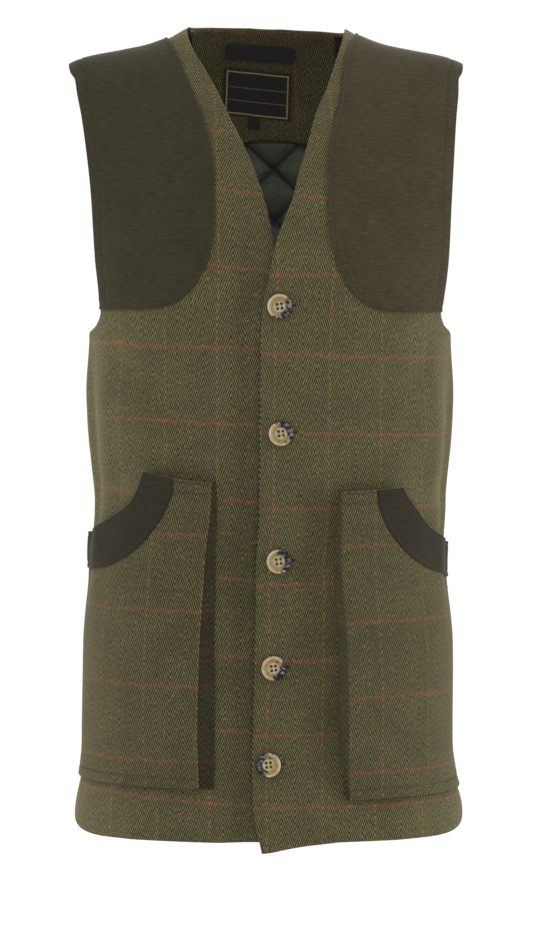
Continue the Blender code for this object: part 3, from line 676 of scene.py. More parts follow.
def back_levels(guide, turn):
    """Levels of a row of the back: above the yoke they bend round the neck."""
    out = np.abs(body(1, turn, guide)[..., 0])
    inside = np.clip(1 - (out / NECK_HALF_WIDTH) ** 2, 0, 1)
    top = np.arccos(BACK_NECK_DEPTH / RINGS[-1, 4] * np.sqrt(inside))
    bent = YOKE_ANGLE + (top - YOKE_ANGLE) * (guide - YOKE_ANGLE) / (math.pi / 2 - YOKE_ANGLE)
    return np.where(guide > YOKE_ANGLE, bent, guide)


def back_grid(shares):
    """The back as grids of turn and level, from the neck and shoulders down to the hem."""
    guide = levels_over(SHOULDER_ROWS)
    turn = turn_at(edge_out(ARMHOLE, guide), guide)[:, None] * shares
    level = back_levels(guide[:, None], turn)
    arm = np.linspace(0, UNDERARM - CHEST, ARM_ROWS + 1)[1:-1]
    arm_turn = turn_at(edge_out(ARMHOLE, arm), arm)[:, None] * shares
    share_down = shares_down(BODY_ROWS)[:, None]
    low_turn = np.repeat(math.pi / 2 * shares[None, :], len(share_down), 0)
    low = UNDERARM + (hem_height(-1, low_turn) - UNDERARM) * share_down - CHEST
    turns = np.concatenate((turn, arm_turn, low_turn))
    levels = np.concatenate((level, np.repeat(arm[:, None], len(shares), 1), low))
    return turns, levels


def on_back(turn, level, lift=0.0, around=None):
    """Points on the back, moved out by lift, with its creases."""
    point = body(1, turn, level)
    if around is None:
        around = round_the_cloth(1, turn, level)
    crease = creased(BACK_CREASES, around, point[..., 2]) * held_flat(turn, level)
    return point + outward(1, turn, level) * (lift + crease)[..., None]


turn, level = back_grid(2 * shares_across(BACK_COLUMNS) - 1)
around = round_the_cloth(1, turn, level)
cloth = np.stack((around, threads(up_the_cloth(1, turn, level))), -1)
outer = on_back(turn, level, 0.0, around)
inner = on_back(turn, level, -TWEED, around)
outer, inner = turned_in(outer, inner, np.minimum.reduce(from_edges(outer)), TWEED_FOLD)
piece = hang("back_cloth", outer, inner, cloth, [front_tweed])
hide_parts("back")


# Neck facing: the same tweed inside the back neck, down to the lining, with a satin end at each
# shoulder seam. It is sewn round the neck and lies a little inside the back. Its tweed and its
# satin ends are painted darker than the fronts and the lining, as painted shade inside the neck.
LAID_INSIDE = 0.0006
FACING_CLOTH = 0.0014
FACING_FOLD = 0.0016
FACING_COLUMNS = 100
FACING_ACROSS = 0.985
FACING_BELOW_NECK = 0.004
SATIN_END = 0.0618
SATIN_MIDDLE = -0.0054
SATIN_END_FOOT = -0.024
FACING_RED_PITCH = 0.13
FACING_LINE_HEIGHT = -0.0045
FACING_LINE_TILT = -0.06
FACING_WEAVE_SHIFT = 0.0275

# The facing's tweed is the fronts' tweed at two thirds of its brightness: painted shade.
facing_tweed_painted_shade = tweed("facing_tweed_painted_shade", 0.66, 0.08, FACING_RED_PITCH)
# The satin ends are the lining's satin at about half its brightness: painted shade.
end_satin_painted_shade = satin("end_satin_painted_shade", (0.0040, 0.0048, 0.0034), (0.0075, 0.0090, 0.0064))
shares = 2 * shares_across(FACING_COLUMNS) - 1
guide = np.concatenate((levels_over(SHOULDER_ROWS)[:-1], [YOKE_ANGLE]))
guide = np.sort(guide[guide >= YOKE_ANGLE])[::-1]
turn = turn_at(edge_out(ARMHOLE, guide), guide)[:, None] * shares * FACING_ACROSS
level = back_levels(guide[:, None], turn)
level = level - (level - YOKE_ANGLE) * FACING_BELOW_NECK
around = round_the_cloth(1, turn, level)
outer = on_back(turn, level, -TWEED - LAID_INSIDE, around)
inner = on_back(turn, level, -TWEED - LAID_INSIDE - FACING_CLOTH, around)
outer, inner = turned_in(outer, inner, np.minimum.reduce(from_edges(outer)), FACING_FOLD)
up = inner[..., 2] - FACING_LINE_HEIGHT - FACING_LINE_TILT * inner[..., 0]
cloth = np.stack((around + FACING_WEAVE_SHIFT, up), -1)
piece = hang("neck_facing", outer, inner, cloth, [facing_tweed_painted_shade, facing_tweed_painted_shade, end_satin_painted_shade], 1)
middles = np.zeros(len(piece.data.polygons) * 3)
piece.data.polygons.foreach_get("center", middles)
middles = middles.reshape(-1, 3)
slots = np.zeros(len(middles), int)
at_end = np.abs(middles[:, 0] - SATIN_MIDDLE) > SATIN_END
slots[at_end & (middles[:, 2] > SATIN_END_FOOT)] = 2
piece.data.polygons.foreach_set("material_index", slots)
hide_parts("back_neck_facing")


# Lining: padded dark green satin inside the back, from the facing to above the hem, quilted in
# diamonds by two crossing sets of seams. Its colour is painted darker in the seams and lighter on
# the puffs' tops, as painted shade and highlight.
LINING_CLOTH = 0.0012
LINING_ACROSS = 0.975
LINING_UP = 0.995
LINING_ABOVE_HEM = 0.027
QUILT_RISE = 0.0062
QUILT_WIDTH = 0.050
QUILT_HEIGHT = 0.047
QUILT_ACROSS = 0.0030
QUILT_UP = -0.1210
QUILT_PUCKER = 0.0006
LINING_COLUMNS = 160
YOKE_ROWS = 60
LINING_ROWS = 170

shares = np.linspace(-LINING_ACROSS, LINING_ACROSS, LINING_COLUMNS)
above = np.linspace(YOKE_ANGLE * LINING_UP, 0, YOKE_ROWS)
turn = np.concatenate((
    turn_at(edge_out(ARMHOLE, above), above)[:, None] * shares,
    np.repeat(math.pi / 2 * shares[None, :], LINING_ROWS, 0),
))
down = np.linspace(UNDERARM - CHEST, HEM + LINING_ABOVE_HEM - CHEST, LINING_ROWS)
level = np.repeat(np.concatenate((above, down))[:, None], len(shares), 1)
around = round_the_cloth(1, turn, level)
up = body(1, turn, level)[..., 2]
rising = (around - QUILT_ACROSS) / QUILT_WIDTH + (up - QUILT_UP) / QUILT_HEIGHT
falling = (around - QUILT_ACROSS) / QUILT_WIDTH - (up - QUILT_UP) / QUILT_HEIGHT
from_rising = np.abs(rising - np.round(rising))
from_falling = np.abs(falling - np.round(falling))
puff = (np.sin(math.pi * from_rising) * np.sin(math.pi * from_falling)) ** 0.6
pucker = (
    np.sin(falling * 2 * math.pi * 5.3 + np.sin(rising * 9)) * np.exp(-from_rising / 0.10)
    + np.sin(rising * 2 * math.pi * 4.7 + np.sin(falling * 7)) * np.exp(-from_falling / 0.10)
)
rise = puff * QUILT_RISE + pucker * puff * QUILT_PUCKER
outer = on_back(turn, level, -TWEED - LAID_INSIDE, around)
inner = on_back(turn, level, -TWEED - LAID_INSIDE - LINING_CLOTH - rise, around)
# The colour of the painted shade in the quilting seams.
painted_seam_shade = (0.0009, 0.0009, 0.0007)
quilt_satin_painted_shade_and_highlight = satin("quilt_satin_painted_shade_and_highlight", (0.0060, 0.0066, 0.0040), (0.0350, 0.0395, 0.0240), painted_seam_shade)
piece = hang("quilted_lining", outer, inner, np.stack((around, up, puff), -1), [quilt_satin_painted_shade_and_highlight])
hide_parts("back_lining")


# Labels: bare woven patches of black satin on the neck facing. The large one has a gold frame
# with two bars; the others are a plain tape and a small plain tab.
LABEL_CLOTH = 0.0010
LABEL_FOLD = 0.0012
FRAME_INSET = 0.0018
FRAME_LINE = 0.0009
FRAME_HALF_WIDTH = 0.0297
FRAME_HALF_HEIGHT = 0.0205
BAR_SHARE = 0.29
BAR_MIDDLE = -0.001


def label_satin(name, colour, framed=False):
    """Woven satin, with the gold frame and its two bars where framed."""
    look = Nodes(name)
    cloth, u, v, _ = look.along("cloth")
    weave = look.noise(look.stretched(cloth, (1.0, 0.3, 1.0)), 1800.0, 2.0)
    shade = look.mix(look.ramp(weave, 0.3, 0.7), shaded(colour, 0.7), shaded(colour, 1.25))
    if framed:
        gold = look.mix(look.ramp(weave, 0.3, 0.7), (0.085, 0.060, 0.022), (0.195, 0.145, 0.062))
        reach_u = look.math("SUBTRACT", FRAME_HALF_WIDTH - FRAME_INSET, look.math("ABSOLUTE", u))
        reach_v = look.math("SUBTRACT", FRAME_HALF_HEIGHT - FRAME_INSET, look.math("ABSOLUTE", v))
        inside = look.math("MINIMUM", reach_u, reach_v)
        line = look.ramp(look.math("ABSOLUTE", inside), FRAME_LINE, FRAME_LINE * 0.4)
        from_middle = look.math("ABSOLUTE", look.math("SUBTRACT", v, BAR_MIDDLE))
        bars = look.math("ABSOLUTE", look.math("SUBTRACT", from_middle, FRAME_HALF_HEIGHT * BAR_SHARE))
        bars = look.ramp(bars, FRAME_LINE * 0.6, FRAME_LINE * 0.2)
        bars = look.math("MULTIPLY", bars, look.ramp(inside, -0.0002, 0.0002))
        shade = look.mix(look.math("MAXIMUM", line, look.math("MULTIPLY", bars, 0.55)), shade, gold)
    look.bump(weave, 0.0003, 0.8)
    return look.finish(shade, 0.60, 0.22, 0.03, 0.3)


def make_label(name, middle_x, middle_z, width, height, tilt, gap, material):
    """One label on the facing; it follows the neck."""
    rows, columns = max(9, int(height / 0.0010)), max(9, int(width / 0.0012))
    across = (np.linspace(-0.5, 0.5, columns) * width)[None, :] + np.zeros((rows, 1))
    up = (np.linspace(0.5, -0.5, rows) * height)[:, None] + np.zeros((1, columns))
    angle = math.radians(tilt)
    out = middle_x + across * math.cos(angle) - up * math.sin(angle)
    level = level_at(out, middle_z + across * math.sin(angle) + up * math.cos(angle))
    turn = turn_at(out, level)
    wave = 0.0002 * np.sin(across / width * 11 + up / height * 4)
    back = -TWEED - LAID_INSIDE - FACING_CLOTH - gap
    outer = on_back(turn, level, back + wave)
    inner = on_back(turn, level, back - LABEL_CLOTH + wave)
    outer, inner = turned_in(outer, inner, np.minimum.reduce(from_edges(outer)), LABEL_FOLD)
    piece = hang(name + "_woven", outer, inner, np.stack((across, up), -1), [material])
    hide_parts(name)


frame_satin = label_satin("label_satin", (0.0046, 0.0044, 0.0048), framed=True)
tape_satin = label_satin("tape_satin", (0.0066, 0.0052, 0.0068))
tab_satin = label_satin("tab_satin", (0.0044, 0.0034, 0.0042))
make_label("neck_label", -0.0092, -0.0540, 0.0610, 0.0416, -5.6, 0.0006, frame_satin)
make_label("neck_tape", -0.0046, -0.0180, 0.0624, 0.0134, -3.7, 0.0008, tape_satin)
make_label("size_tab", -0.0140, -0.0806, 0.0110, 0.0092, -5.6, 0.0006, tab_satin)


# Shoulder patches: dark brushed cloth over each front's shoulder, edges turned under and sewn
# down along their curve, with a second seam along the armhole.
LAID_ON = 0.0004
PATCH_CLOTH = 0.0014
PATCH_FOLD = 0.0015
PATCH_INSET = 0.0006
PATCH_EDGE = np.array((
    (-0.2452, 0.1200), (-0.2436, 0.0960), (-0.2390, 0.0815), (-0.2310, 0.0710), (-0.2210, 0.0632),
    (-0.2060, 0.0548), (-0.1910, 0.0507), (-0.1600, 0.0478), (-0.1340, 0.0478), (-0.1100, 0.0505),
    (-0.0860, 0.0555), (-0.0680, 0.0615), (-0.0480, 0.0690), (-0.0240, 0.0780), (-0.0100, 0.0860),
))
# What differs from patch to patch: the level of its foot in degrees, how far its lower curve
# drops, and how much nearer the neck its top comes.
PATCH_CUTS = {1: (0.12, 0.0046, 0.0080), -1: (0.72, 0.0022, 0.0)}
EDGE_SEAM = 0.0042
SECOND_SEAM = 0.0095
ARM_SEAM = 0.0108
SEAM_DEPTH = 0.0007
SEAM_HALF_WIDTH = 0.0009
STITCH_PITCH = 0.0030
STITCH_SINK = 0.00005


def nap(name, dark, light, sheen):
    """Brushed cotton with a short nap over a fine weave."""
    look = Nodes(name)
    cloth = look.along("cloth")[0]
    weft = look.noise(look.stretched(cloth, (0.16, 1.0, 1.0)), 760.0, 2.0)
    warp = look.noise(look.stretched(cloth, (1.0, 0.16, 1.0)), 820.0, 2.0)
    slubs = look.math("ADD", weft, look.math("MULTIPLY", warp, 0.4))
    brushed = look.noise(look.stretched(cloth, (0.8, 1.0, 1.0)), 30.0, 3.0, 0.5)
    tone = look.math("MULTIPLY_ADD", brushed, 0.35, slubs)
    colour = look.mix(look.ramp(tone, 0.45, 1.50), dark, light)
    look.bump(slubs, 0.00020, 0.7)
    return look.finish(colour, 0.95, 0.08, sheen, 0.45, (0.95, 0.88, 0.70))


def seam_trough(distance, at):
    """Depth of the trough that a row of stitches draws into the cloth."""
    return SEAM_DEPTH * np.exp(-(((distance - at) / SEAM_HALF_WIDTH) ** 2))


def stitch_shape():
    """One stitch along x, as points in shares of its pitch and thickness, and its faces."""
    sides = 6
    angles = np.arange(sides) * 2 * math.pi / sides
    points = [(-0.43, 0.0, -0.3)]
    for stop, wide in ((-0.36, 0.75), (-0.2, 1.0), (0.2, 1.0), (0.36, 0.75)):
        hump = 0.25 - 2.2 * stop * stop
        points += [(stop, wide * math.cos(angle), wide * math.sin(angle) + hump) for angle in angles]
    points.append((0.43, 0.0, -0.3))
    last = len(points) - 1
    faces = []
    for this in range(sides):
        after = (this + 1) % sides
        faces.append((0, 1 + after, 1 + this))
        for ring in range(3):
            near, far = 1 + ring * sides, 1 + (ring + 1) * sides
            faces.append((near + this, near + after, far + after, far + this))
        faces.append((last, 1 + 3 * sides + this, 1 + 3 * sides + after))
    return np.array(points), faces


def sew(name, paths, material, pitch=STITCH_PITCH, thick=0.00035):
    """Rows of stitches as one piece; each path is a run of points and their outward directions."""
    shape, faces = stitch_shape()
    points = []
    polygons = []
    for path, out in paths:
        steps = np.linalg.norm(np.diff(path, axis=0), axis=1)
        length = np.concatenate(([0], np.cumsum(steps)))
        count = max(1, int(length[-1] / pitch))
        middles = (np.arange(count) + 0.5) * length[-1] / count

        def at(places, values):
            """The path's points or directions at these lengths along it."""
            return np.stack([np.interp(places, length, values[:, k]) for k in range(3)], 1)

        centre = at(middles, path)
        run = at(middles + pitch / 4, path) - at(middles - pitch / 4, path)
        run /= np.linalg.norm(run, axis=1, keepdims=True) + 1e-12
        aside = np.cross(at(middles, out), run)
        aside /= np.linalg.norm(aside, axis=1, keepdims=True) + 1e-12
        up = np.cross(run, aside)
        for stitch in range(count):
            start = len(points)
            made = (
                centre[stitch] + shape[:, :1] * pitch * run[stitch]
                + (shape[:, 1:2] * aside[stitch] + shape[:, 2:] * up[stitch]) * thick
            )
            points.extend(made.tolist())
            polygons.extend([tuple(start + corner for corner in face) for face in faces])
    mesh = bpy.data.meshes.new(name)
    mesh.from_pydata(points, [], polygons)
    mesh.materials.append(material)
    mesh.shade_smooth()
    piece = bpy.data.objects.new(name, mesh)
    bpy.context.scene.collection.objects.link(piece)
    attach(piece, "root")


def thread_cotton(name, colour):
    """Sewing thread."""
    look = Nodes(name)
    place = look.tree.nodes.new("ShaderNodeTexCoord").outputs["Object"]
    twist = look.noise(place, 2500.0, 1.0)
    shade = look.mix(look.ramp(twist, 0.3, 0.7), shaded(colour, 0.7), shaded(colour, 1.3))
    look.bump(twist, 0.0001, 0.6)
    return look.finish(shade, 0.7, 0.2, 0.1)


def grid_line(grid, out, rows, columns):
    """Points and directions of a grid, at places in fractional rows and columns."""
    row = np.clip(np.floor(rows).astype(int), 0, grid.shape[0] - 2)
    column = np.clip(np.floor(columns).astype(int), 0, grid.shape[1] - 2)
    down, across = (rows - row)[:, None], (columns - column)[:, None]

    def at(values):
        """The grid's value between its points."""
        top = values[row, column] * (1 - across) + values[row, column + 1] * across
        low = values[row + 1, column] * (1 - across) + values[row + 1, column + 1] * across
        return top * (1 - down) + low * down

    return at(grid), at(out)


def crossings(distance, at, columns):
    """Where a distance down these columns of a grid has one value, as fractional rows and columns."""
    rows = []
    for column in columns:
        order = np.argsort(distance[:, column])
        rows.append(np.interp(at, distance[order, column], order))
    return np.array(rows), np.array(columns, float)


def contour(distance, at, keep):
    """The line on a grid where a distance has one value, as fractional rows and columns."""
    places = []
    rows, columns = distance.shape
    for r in range(rows):
        line = distance[r] - at
        for c in np.nonzero(line[:-1] * line[1:] < 0)[0]:
            places.append((r, c + line[c] / (line[c] - line[c + 1])))
    for c in range(columns):
        line = distance[:, c] - at
        for r in np.nonzero(line[:-1] * line[1:] < 0)[0]:
            places.append((r + line[r] / (line[r] - line[r + 1]), c))
    places = np.array([place for place in places if keep[int(place[0]), int(place[1])]])
    return places[:, 0], places[:, 1]


def chain(points, out, reach=0.012):
    """Scattered points of a line put in order from the top, each the nearest to the one before."""
    left = list(range(len(points)))
    start = points[np.argmax(points[:, 2])]
    current = min(left, key=lambda i: np.linalg.norm(points[i] - start))
    order = [current]
    left.remove(current)
    while left:
        gaps = np.linalg.norm(points[left] - points[current], axis=1)
        nearest = int(np.argmin(gaps))
        if gaps[nearest] > reach:
            break
        current = left.pop(nearest)
        order.append(current)
    return points[order], out[order]


# Both patches are one cloth: the wearer's left one is painted lighter and the right one darker, as painted
# light and painted shade.
PAINTED_LIGHT_PATCH_NAPS = {
    1: nap("patch_nap_left_painted_light", (0.0210, 0.0175, 0.0088), (0.0470, 0.0395, 0.0220), 0.12),
    -1: nap("patch_nap_right_painted_shade", (0.0160, 0.0140, 0.0078), (0.0360, 0.0315, 0.0190), 0.12),
}
dark_thread = thread_cotton("dark_thread", (0.022, 0.019, 0.012))
for side, hand in ((1, "left"), (-1, "right")):
    name = "shoulder_patch_" + hand
    foot, drop, nearer = PATCH_CUTS[side]
    level = np.concatenate((
        math.pi / 2 * (1 - np.array((0.0, 0.002, 0.005, 0.010, 0.018))),
        np.linspace(math.pi / 2 * 0.97, math.radians(foot + 0.48), 118),
        np.radians(foot + np.array((0.35, 0.23, 0.14, 0.07, 0.0))),
    ))
    edge = PATCH_EDGE - np.array((drop, 0.0)) * ease((-0.19 - PATCH_EDGE[:, :1]) / 0.05)
    edge = edge - np.array((0.0, nearer)) * ease((PATCH_EDGE[:, :1] + 0.072) / 0.046)
    inner_turn = turn_at(edge_out(edge, level), level)
    outer_turn = turn_at(edge_out(ARMHOLE, level) - PATCH_INSET, level)
    shares = np.concatenate(((0.0, 0.004, 0.010, 0.018), np.linspace(0.030, 0.975, 62), (0.988, 0.995, 1.0)))
    turn = inner_turn[:, None] + (outer_turn - inner_turn)[:, None] * shares
    level = np.repeat(level[:, None], len(shares), 1)
    around = round_the_cloth(-1, side * turn, level)
    flat = on_front(side, turn, level, 0.0, around)
    curve = np.concatenate((flat[:, 0], flat[-1]))
    from_curve = np.stack([
        np.min(np.linalg.norm(row[:, None] - curve[None], axis=-1), axis=1) for row in flat
    ])
    _, from_arm, from_shoulder, _ = from_edges(flat)
    low = ease((-0.165 - flat[..., 2]) / 0.03)
    seams = seam_trough(from_curve, EDGE_SEAM)
    seams = seams + seam_trough(from_arm, ARM_SEAM) * ease((from_curve - 0.004) / 0.004)
    seams = seams + seam_trough(from_curve, SECOND_SEAM) * low * ease((from_arm - 0.010) / 0.004)
    outer = on_front(side, turn, level, LAID_ON + PATCH_CLOTH - seams, around)
    inner = on_front(side, turn, level, LAID_ON, around)
    edge = np.minimum.reduce((from_curve, from_arm, from_shoulder))
    outer, inner = turned_in(outer, inner, edge, PATCH_FOLD)
    cloth = np.stack((around, up_the_cloth(-1, turn, level)), -1)
    piece = hang(name + "_cloth", outer, inner, cloth, [PAINTED_LIGHT_PATCH_NAPS[side]])
    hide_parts(name)
    ways = outward(-1, side * turn, level)
    seats = outer - ways * STITCH_SINK
    paths = []
    for distance, at, keep in (
        (from_curve, EDGE_SEAM, from_arm > 0.002),
        (from_curve, SECOND_SEAM, (from_arm > 0.012) & (low > 0.4)),
        (from_arm, ARM_SEAM, from_curve > 0.0045),
    ):
        paths.append(chain(*grid_line(seats, ways, *contour(distance, at, keep))))
    sew("patch_stitching_" + hand, paths, dark_thread)


# Pockets: bellows pockets low on each front. Each has a tweed face with a sewn band at its top,
# a pleat along its inner edge that lets it stand off, and a brushed trim round its hand opening.
# The face and the pleat take darker copies of the fronts' tweed, as painted shade.
POCKET_CLOTH = 0.0020
POCKET_LAID_ON = 0.0007
POCKET_SIDE_ANGLE = math.radians(88.6)
POCKET_FULL = 0.0180
POCKET_FOLD = 0.0016
GUSSET_REACHES = {-1: 0.0125, 1: 0.0035}
GUSSET_TUCK = 0.0030
GUSSET_CLOTH = 0.0014
GUSSET_FOLD = 0.0010
GUSSET_ROWS = 15
TRIM_CLOTH = 0.0012
TRIM_FOLD = 0.0014
TRIM_LIFT = 0.0003
TRIM_SIDE_WIDTH = 0.0310
TRIM_HAND_SEAM = 0.0026
TRIM_FAR_SEAM = 0.0048
# How far the face stands off: height up the pocket, share of the fullness.
STAND_OFF = np.array((
    (0.0, 0.20), (0.06, 0.50), (0.16, 0.86), (0.32, 1.00), (0.60, 0.92), (0.85, 0.74), (1.00, 0.56),
))
# Top edge of each pocket, from the inner corner to the side: out, height.
POCKET_TOPS = {
    -1: ((0.0480, -0.3929), (0.0660, -0.3915), (0.0850, -0.3885), (0.1043, -0.3848), (0.1086, -0.3994),
         (0.1155, -0.4133), (0.1295, -0.4252), (0.1420, -0.4350), (0.1490, -0.4395)),
    1: ((0.0574, -0.4010), (0.0740, -0.4005), (0.0910, -0.3998), (0.1085, -0.3988), (0.1128, -0.4080),
        (0.1182, -0.4165), (0.1300, -0.4325), (0.1420, -0.4430), (0.1510, -0.4485)),
}
# Edge of each trim away from its hand opening, from the top to the side: out, height.
TRIM_FAR_EDGES = {
    -1: ((0.0792, -0.3900), (0.0795, -0.4020), (0.0825, -0.4115), (0.0885, -0.4260), (0.0950, -0.4373),
         (0.1052, -0.4506), (0.1200, -0.4625), (0.1345, -0.4695), (0.1480, -0.4730)),
    1: ((0.0865, -0.4004), (0.0872, -0.4110), (0.0922, -0.4269), (0.0991, -0.4391), (0.1072, -0.4493),
        (0.1161, -0.4586), (0.1269, -0.4672), (0.1370, -0.4730), (0.1495, -0.4790)),
}
# Side, height at the side, inner bottom corner, bottom, bow of the inner edge, height of a red
# line, and place of a rust line.
POCKETS = (
    (-1, -0.4434, 0.0575, -0.6560, 0.0015, -0.5030, -0.007),
    (1, -0.4520, 0.0690, -0.6660, 0.0000, -0.5128, 0.022),
)
POCKET_LINE_PITCH = 0.0646
BAND = 0.0105
BAND_TOP_SEAM = 0.0024
BOTTOM_SEAM = 0.0088
TOP_CORNER = 3

# The face's tweed is the fronts' tweed made darker, as painted shade.
pocket_tweed_painted_shade = tweed("pocket_tweed_painted_shade", 0.86, 0.16)
# The pleats' tweed is darker still, most on the right front's wider pleat, as painted shade in the pleats.
GUSSET_PAINTED_SHADE_TWEEDS = {-1: tweed("gusset_painted_shade_tweed", 0.34, 0.03), 1: tweed("open_gusset_painted_shade_tweed", 0.56, 0.06)}
trim_nap = nap("trim_nap", (0.0120, 0.0105, 0.0065), (0.0270, 0.0235, 0.0150), 0.08)


def with_places(pairs, side_height):
    """A row of (number, turn, height) for each pair, ending at the side seam."""
    out = np.array([pair[0] for pair in pairs])
    height = np.array([pair[1] for pair in pairs])
    turn = np.append(turn_at(out, height - CHEST), POCKET_SIDE_ANGLE)
    return np.column_stack((np.arange(len(turn)), turn, np.append(height, side_height)))


for side, side_height, inner_bottom, bottom, bow, red_height, rust_place in POCKETS:
    hand = "left" if side > 0 else "right"
    head = with_places(POCKET_TOPS[side], side_height)
    last = len(head) - 1

    def head_at(index, column):
        """The top edge, with its corner kept sharp."""
        before = read(head[:TOP_CORNER + 1], index, column)
        return np.where(index <= TOP_CORNER, before, read(head[TOP_CORNER:], index, column))

    def on_pocket(index, up):
        """Turn and level of a place on the face."""
        foot_inner = turn_at(inner_bottom, bottom - CHEST)
        foot = foot_inner + (POCKET_SIDE_ANGLE - foot_inner) * index / last
        place = foot + (head_at(index, 1) - foot) * up
        place = place + bow / 0.15 * np.sin(math.pi * up) * (1 - index / last)
        return place, bottom + (head_at(index, 2) - bottom) * up - CHEST

    edge_turn, edge_level = on_pocket(0.0, np.linspace(0, 1, 60))

    def face_lift(turn, level):
        """Lift of the back of the face at this place."""
        inner = np.interp(level, edge_level, edge_turn)
        share = np.clip((turn - inner) / (POCKET_SIDE_ANGLE - inner), 0, 1)
        height = np.clip((level - edge_level[0]) / (edge_level[-1] - edge_level[0]), 0, 1)
        return POCKET_LAID_ON + POCKET_FULL * (1 - share) ** 1.15 * read(STAND_OFF, height)

    # The face, with its band, its seams and its lines.
    index = np.concatenate((
        (0.0, 0.02, 0.05, 0.10), np.linspace(0.18, 2.94, 26), (2.97, 3.0, 3.04, 3.12),
        np.linspace(3.25, 8.8, 34), (8.9, 8.96, 9.0),
    ))[None, :]
    ups = np.concatenate((
        (1.0, 0.9988, 0.9965, 0.993), np.linspace(0.989, 0.93, 20), np.linspace(0.922, 0.06, 84),
        np.linspace(0.052, 0.008, 12), (0.0045, 0.0020, 0.0007, 0.0),
    ))[:, None]
    index, ups = np.broadcast_arrays(index, ups)
    turn, level = on_pocket(index, ups)
    around = round_the_cloth(-1, side * turn, level)
    lift = face_lift(turn, level)
    flat = on_front(side, turn, level, lift, around)
    from_inner, from_side, from_top, from_bottom = from_edges(flat)
    banded = ease((3.25 - index) / 0.2)
    seams = (seam_trough(from_top, BAND_TOP_SEAM) + seam_trough(from_top, BAND)) * banded
    seams = seams + seam_trough(from_bottom, BOTTOM_SEAM) * ease((from_inner - 0.001) / 0.003)
    double = 0.0004 * ease((BAND + 0.0006 - from_top) / 0.0012) * banded
    outer = on_front(side, turn, level, lift + POCKET_CLOTH + double - seams, around)
    inner = on_front(side, turn, level, lift, around)
    edge = np.minimum.reduce((from_inner, from_side, from_top, from_bottom))
    outer, inner = turned_in(outer, inner, edge, POCKET_FOLD)
    across = np.abs(around) - np.abs(around[:, :1])
    number = (outer[..., 2] - red_height) / POCKET_LINE_PITCH
    cloth = np.stack((across * side - rust_place, number * RED_PITCH), -1)
    piece = hang("pocket_face_%s_cloth" % hand, outer, inner, cloth, [pocket_tweed_painted_shade])
    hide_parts("pocket_face_" + hand)
    ways = outward(-1, side * turn, level)
    seats = outer - ways * STITCH_SINK
    paths = []
    for distance, at, end in (
        (from_top, BAND_TOP_SEAM, 3.0),
        (from_top, BAND, 3.0),
        (from_bottom, BOTTOM_SEAM, 8.9),
    ):
        columns = np.nonzero((index[0] >= 0.1) & (index[0] <= end))[0]
        paths.append(grid_line(seats, ways, *crossings(distance, at, columns)))
    sew("pocket_stitching_" + hand, paths, dark_thread)

    # The gusset, from behind the face's inner edge to where it is sewn to the front.
    up = ups[:, 0]
    turn, level = on_pocket(up * 0, up)
    half_width = read(RINGS, CHEST + level)
    tuck = turn + GUSSET_TUCK / half_width
    sewn = turn - GUSSET_REACHES[side] / half_width * (1 - 0.85 * up ** 1.6)
    under = face_lift(tuck, level) - 2 * SEAM_GAP
    share = np.linspace(0, 1, GUSSET_ROWS)[None, :]
    turns = tuck[:, None] + (sewn - tuck)[:, None] * share
    levels = np.repeat(level[:, None], GUSSET_ROWS, 1)
    sag = -0.0016 * np.sin(math.pi * share) * np.minimum(1, under[:, None] / 0.008)
    outer_lift = under[:, None] + (LAID_ON + GUSSET_CLOTH - under[:, None]) * share + sag
    inner_lift = outer_lift - GUSSET_CLOTH
    around = round_the_cloth(-1, side * turns, levels)
    outer = on_front(side, turns, levels, outer_lift, around)
    inner = on_front(side, turns, levels, inner_lift, around)
    outer, inner = turned_in(outer, inner, np.minimum.reduce(from_edges(outer)), GUSSET_FOLD)
    across = from_edges(outer)[0]
    cloth = np.stack((across + 0.012, (outer[..., 2] - red_height) / POCKET_LINE_PITCH * RED_PITCH), -1)
    piece = hang("pocket_gusset_%s_cloth" % hand, outer, inner, cloth, [GUSSET_PAINTED_SHADE_TWEEDS[side]])
    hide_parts("pocket_gusset_" + hand)

    # The trim, laid on the face along the hand opening.
    far = with_places(TRIM_FAR_EDGES[side], side_height - TRIM_SIDE_WIDTH)
    run = np.concatenate(((0.0, 0.004, 0.010), np.linspace(0.018, 0.982, 86), (0.990, 0.996, 1.0)))[:, None]
    share = np.concatenate((
        (0.0, 0.012, 0.03, 0.06), np.linspace(0.10, 0.90, 22), (0.94, 0.97, 0.988, 1.0),
    ))[None, :]
    near_run = TOP_CORNER + run * (last - TOP_CORNER)
    near_turn, near_height = head_at(near_run, 1), head_at(near_run, 2)
    far_run = run * (len(far) - 1)
    far_turn, far_height = read(far, far_run, 1), read(far, far_run, 2)
    turn = near_turn + (far_turn - near_turn) * share
    level = near_height + (far_height - near_height) * share - CHEST
    around = round_the_cloth(-1, side * turn, level)
    lift = face_lift(turn, level) + POCKET_CLOTH + TRIM_LIFT
    flat = on_front(side, turn, level, lift, around)
    from_hand, from_far, from_top, from_side = from_edges(flat)
    seams = seam_trough(from_far, TRIM_FAR_SEAM) * ease((from_top - 0.008) / 0.004)
    seams = seams + seam_trough(from_hand, TRIM_HAND_SEAM)
    seams = seams + seam_trough(from_top, BAND) + seam_trough(from_top, BAND_TOP_SEAM)
    outer = on_front(side, turn, level, lift + TRIM_CLOTH - seams, around)
    inner = on_front(side, turn, level, lift, around)
    edge = np.minimum.reduce((from_hand, from_far, from_top, from_side))
    outer, inner = turned_in(outer, inner, edge, TRIM_FOLD)
    cloth = np.stack((around, level), -1)
    piece = hang("pocket_trim_%s_cloth" % hand, outer, inner, cloth, [trim_nap])
    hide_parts("pocket_trim_" + hand)
    ways = outward(-1, side * turn, level)
    seats = outer - ways * STITCH_SINK
    paths = []
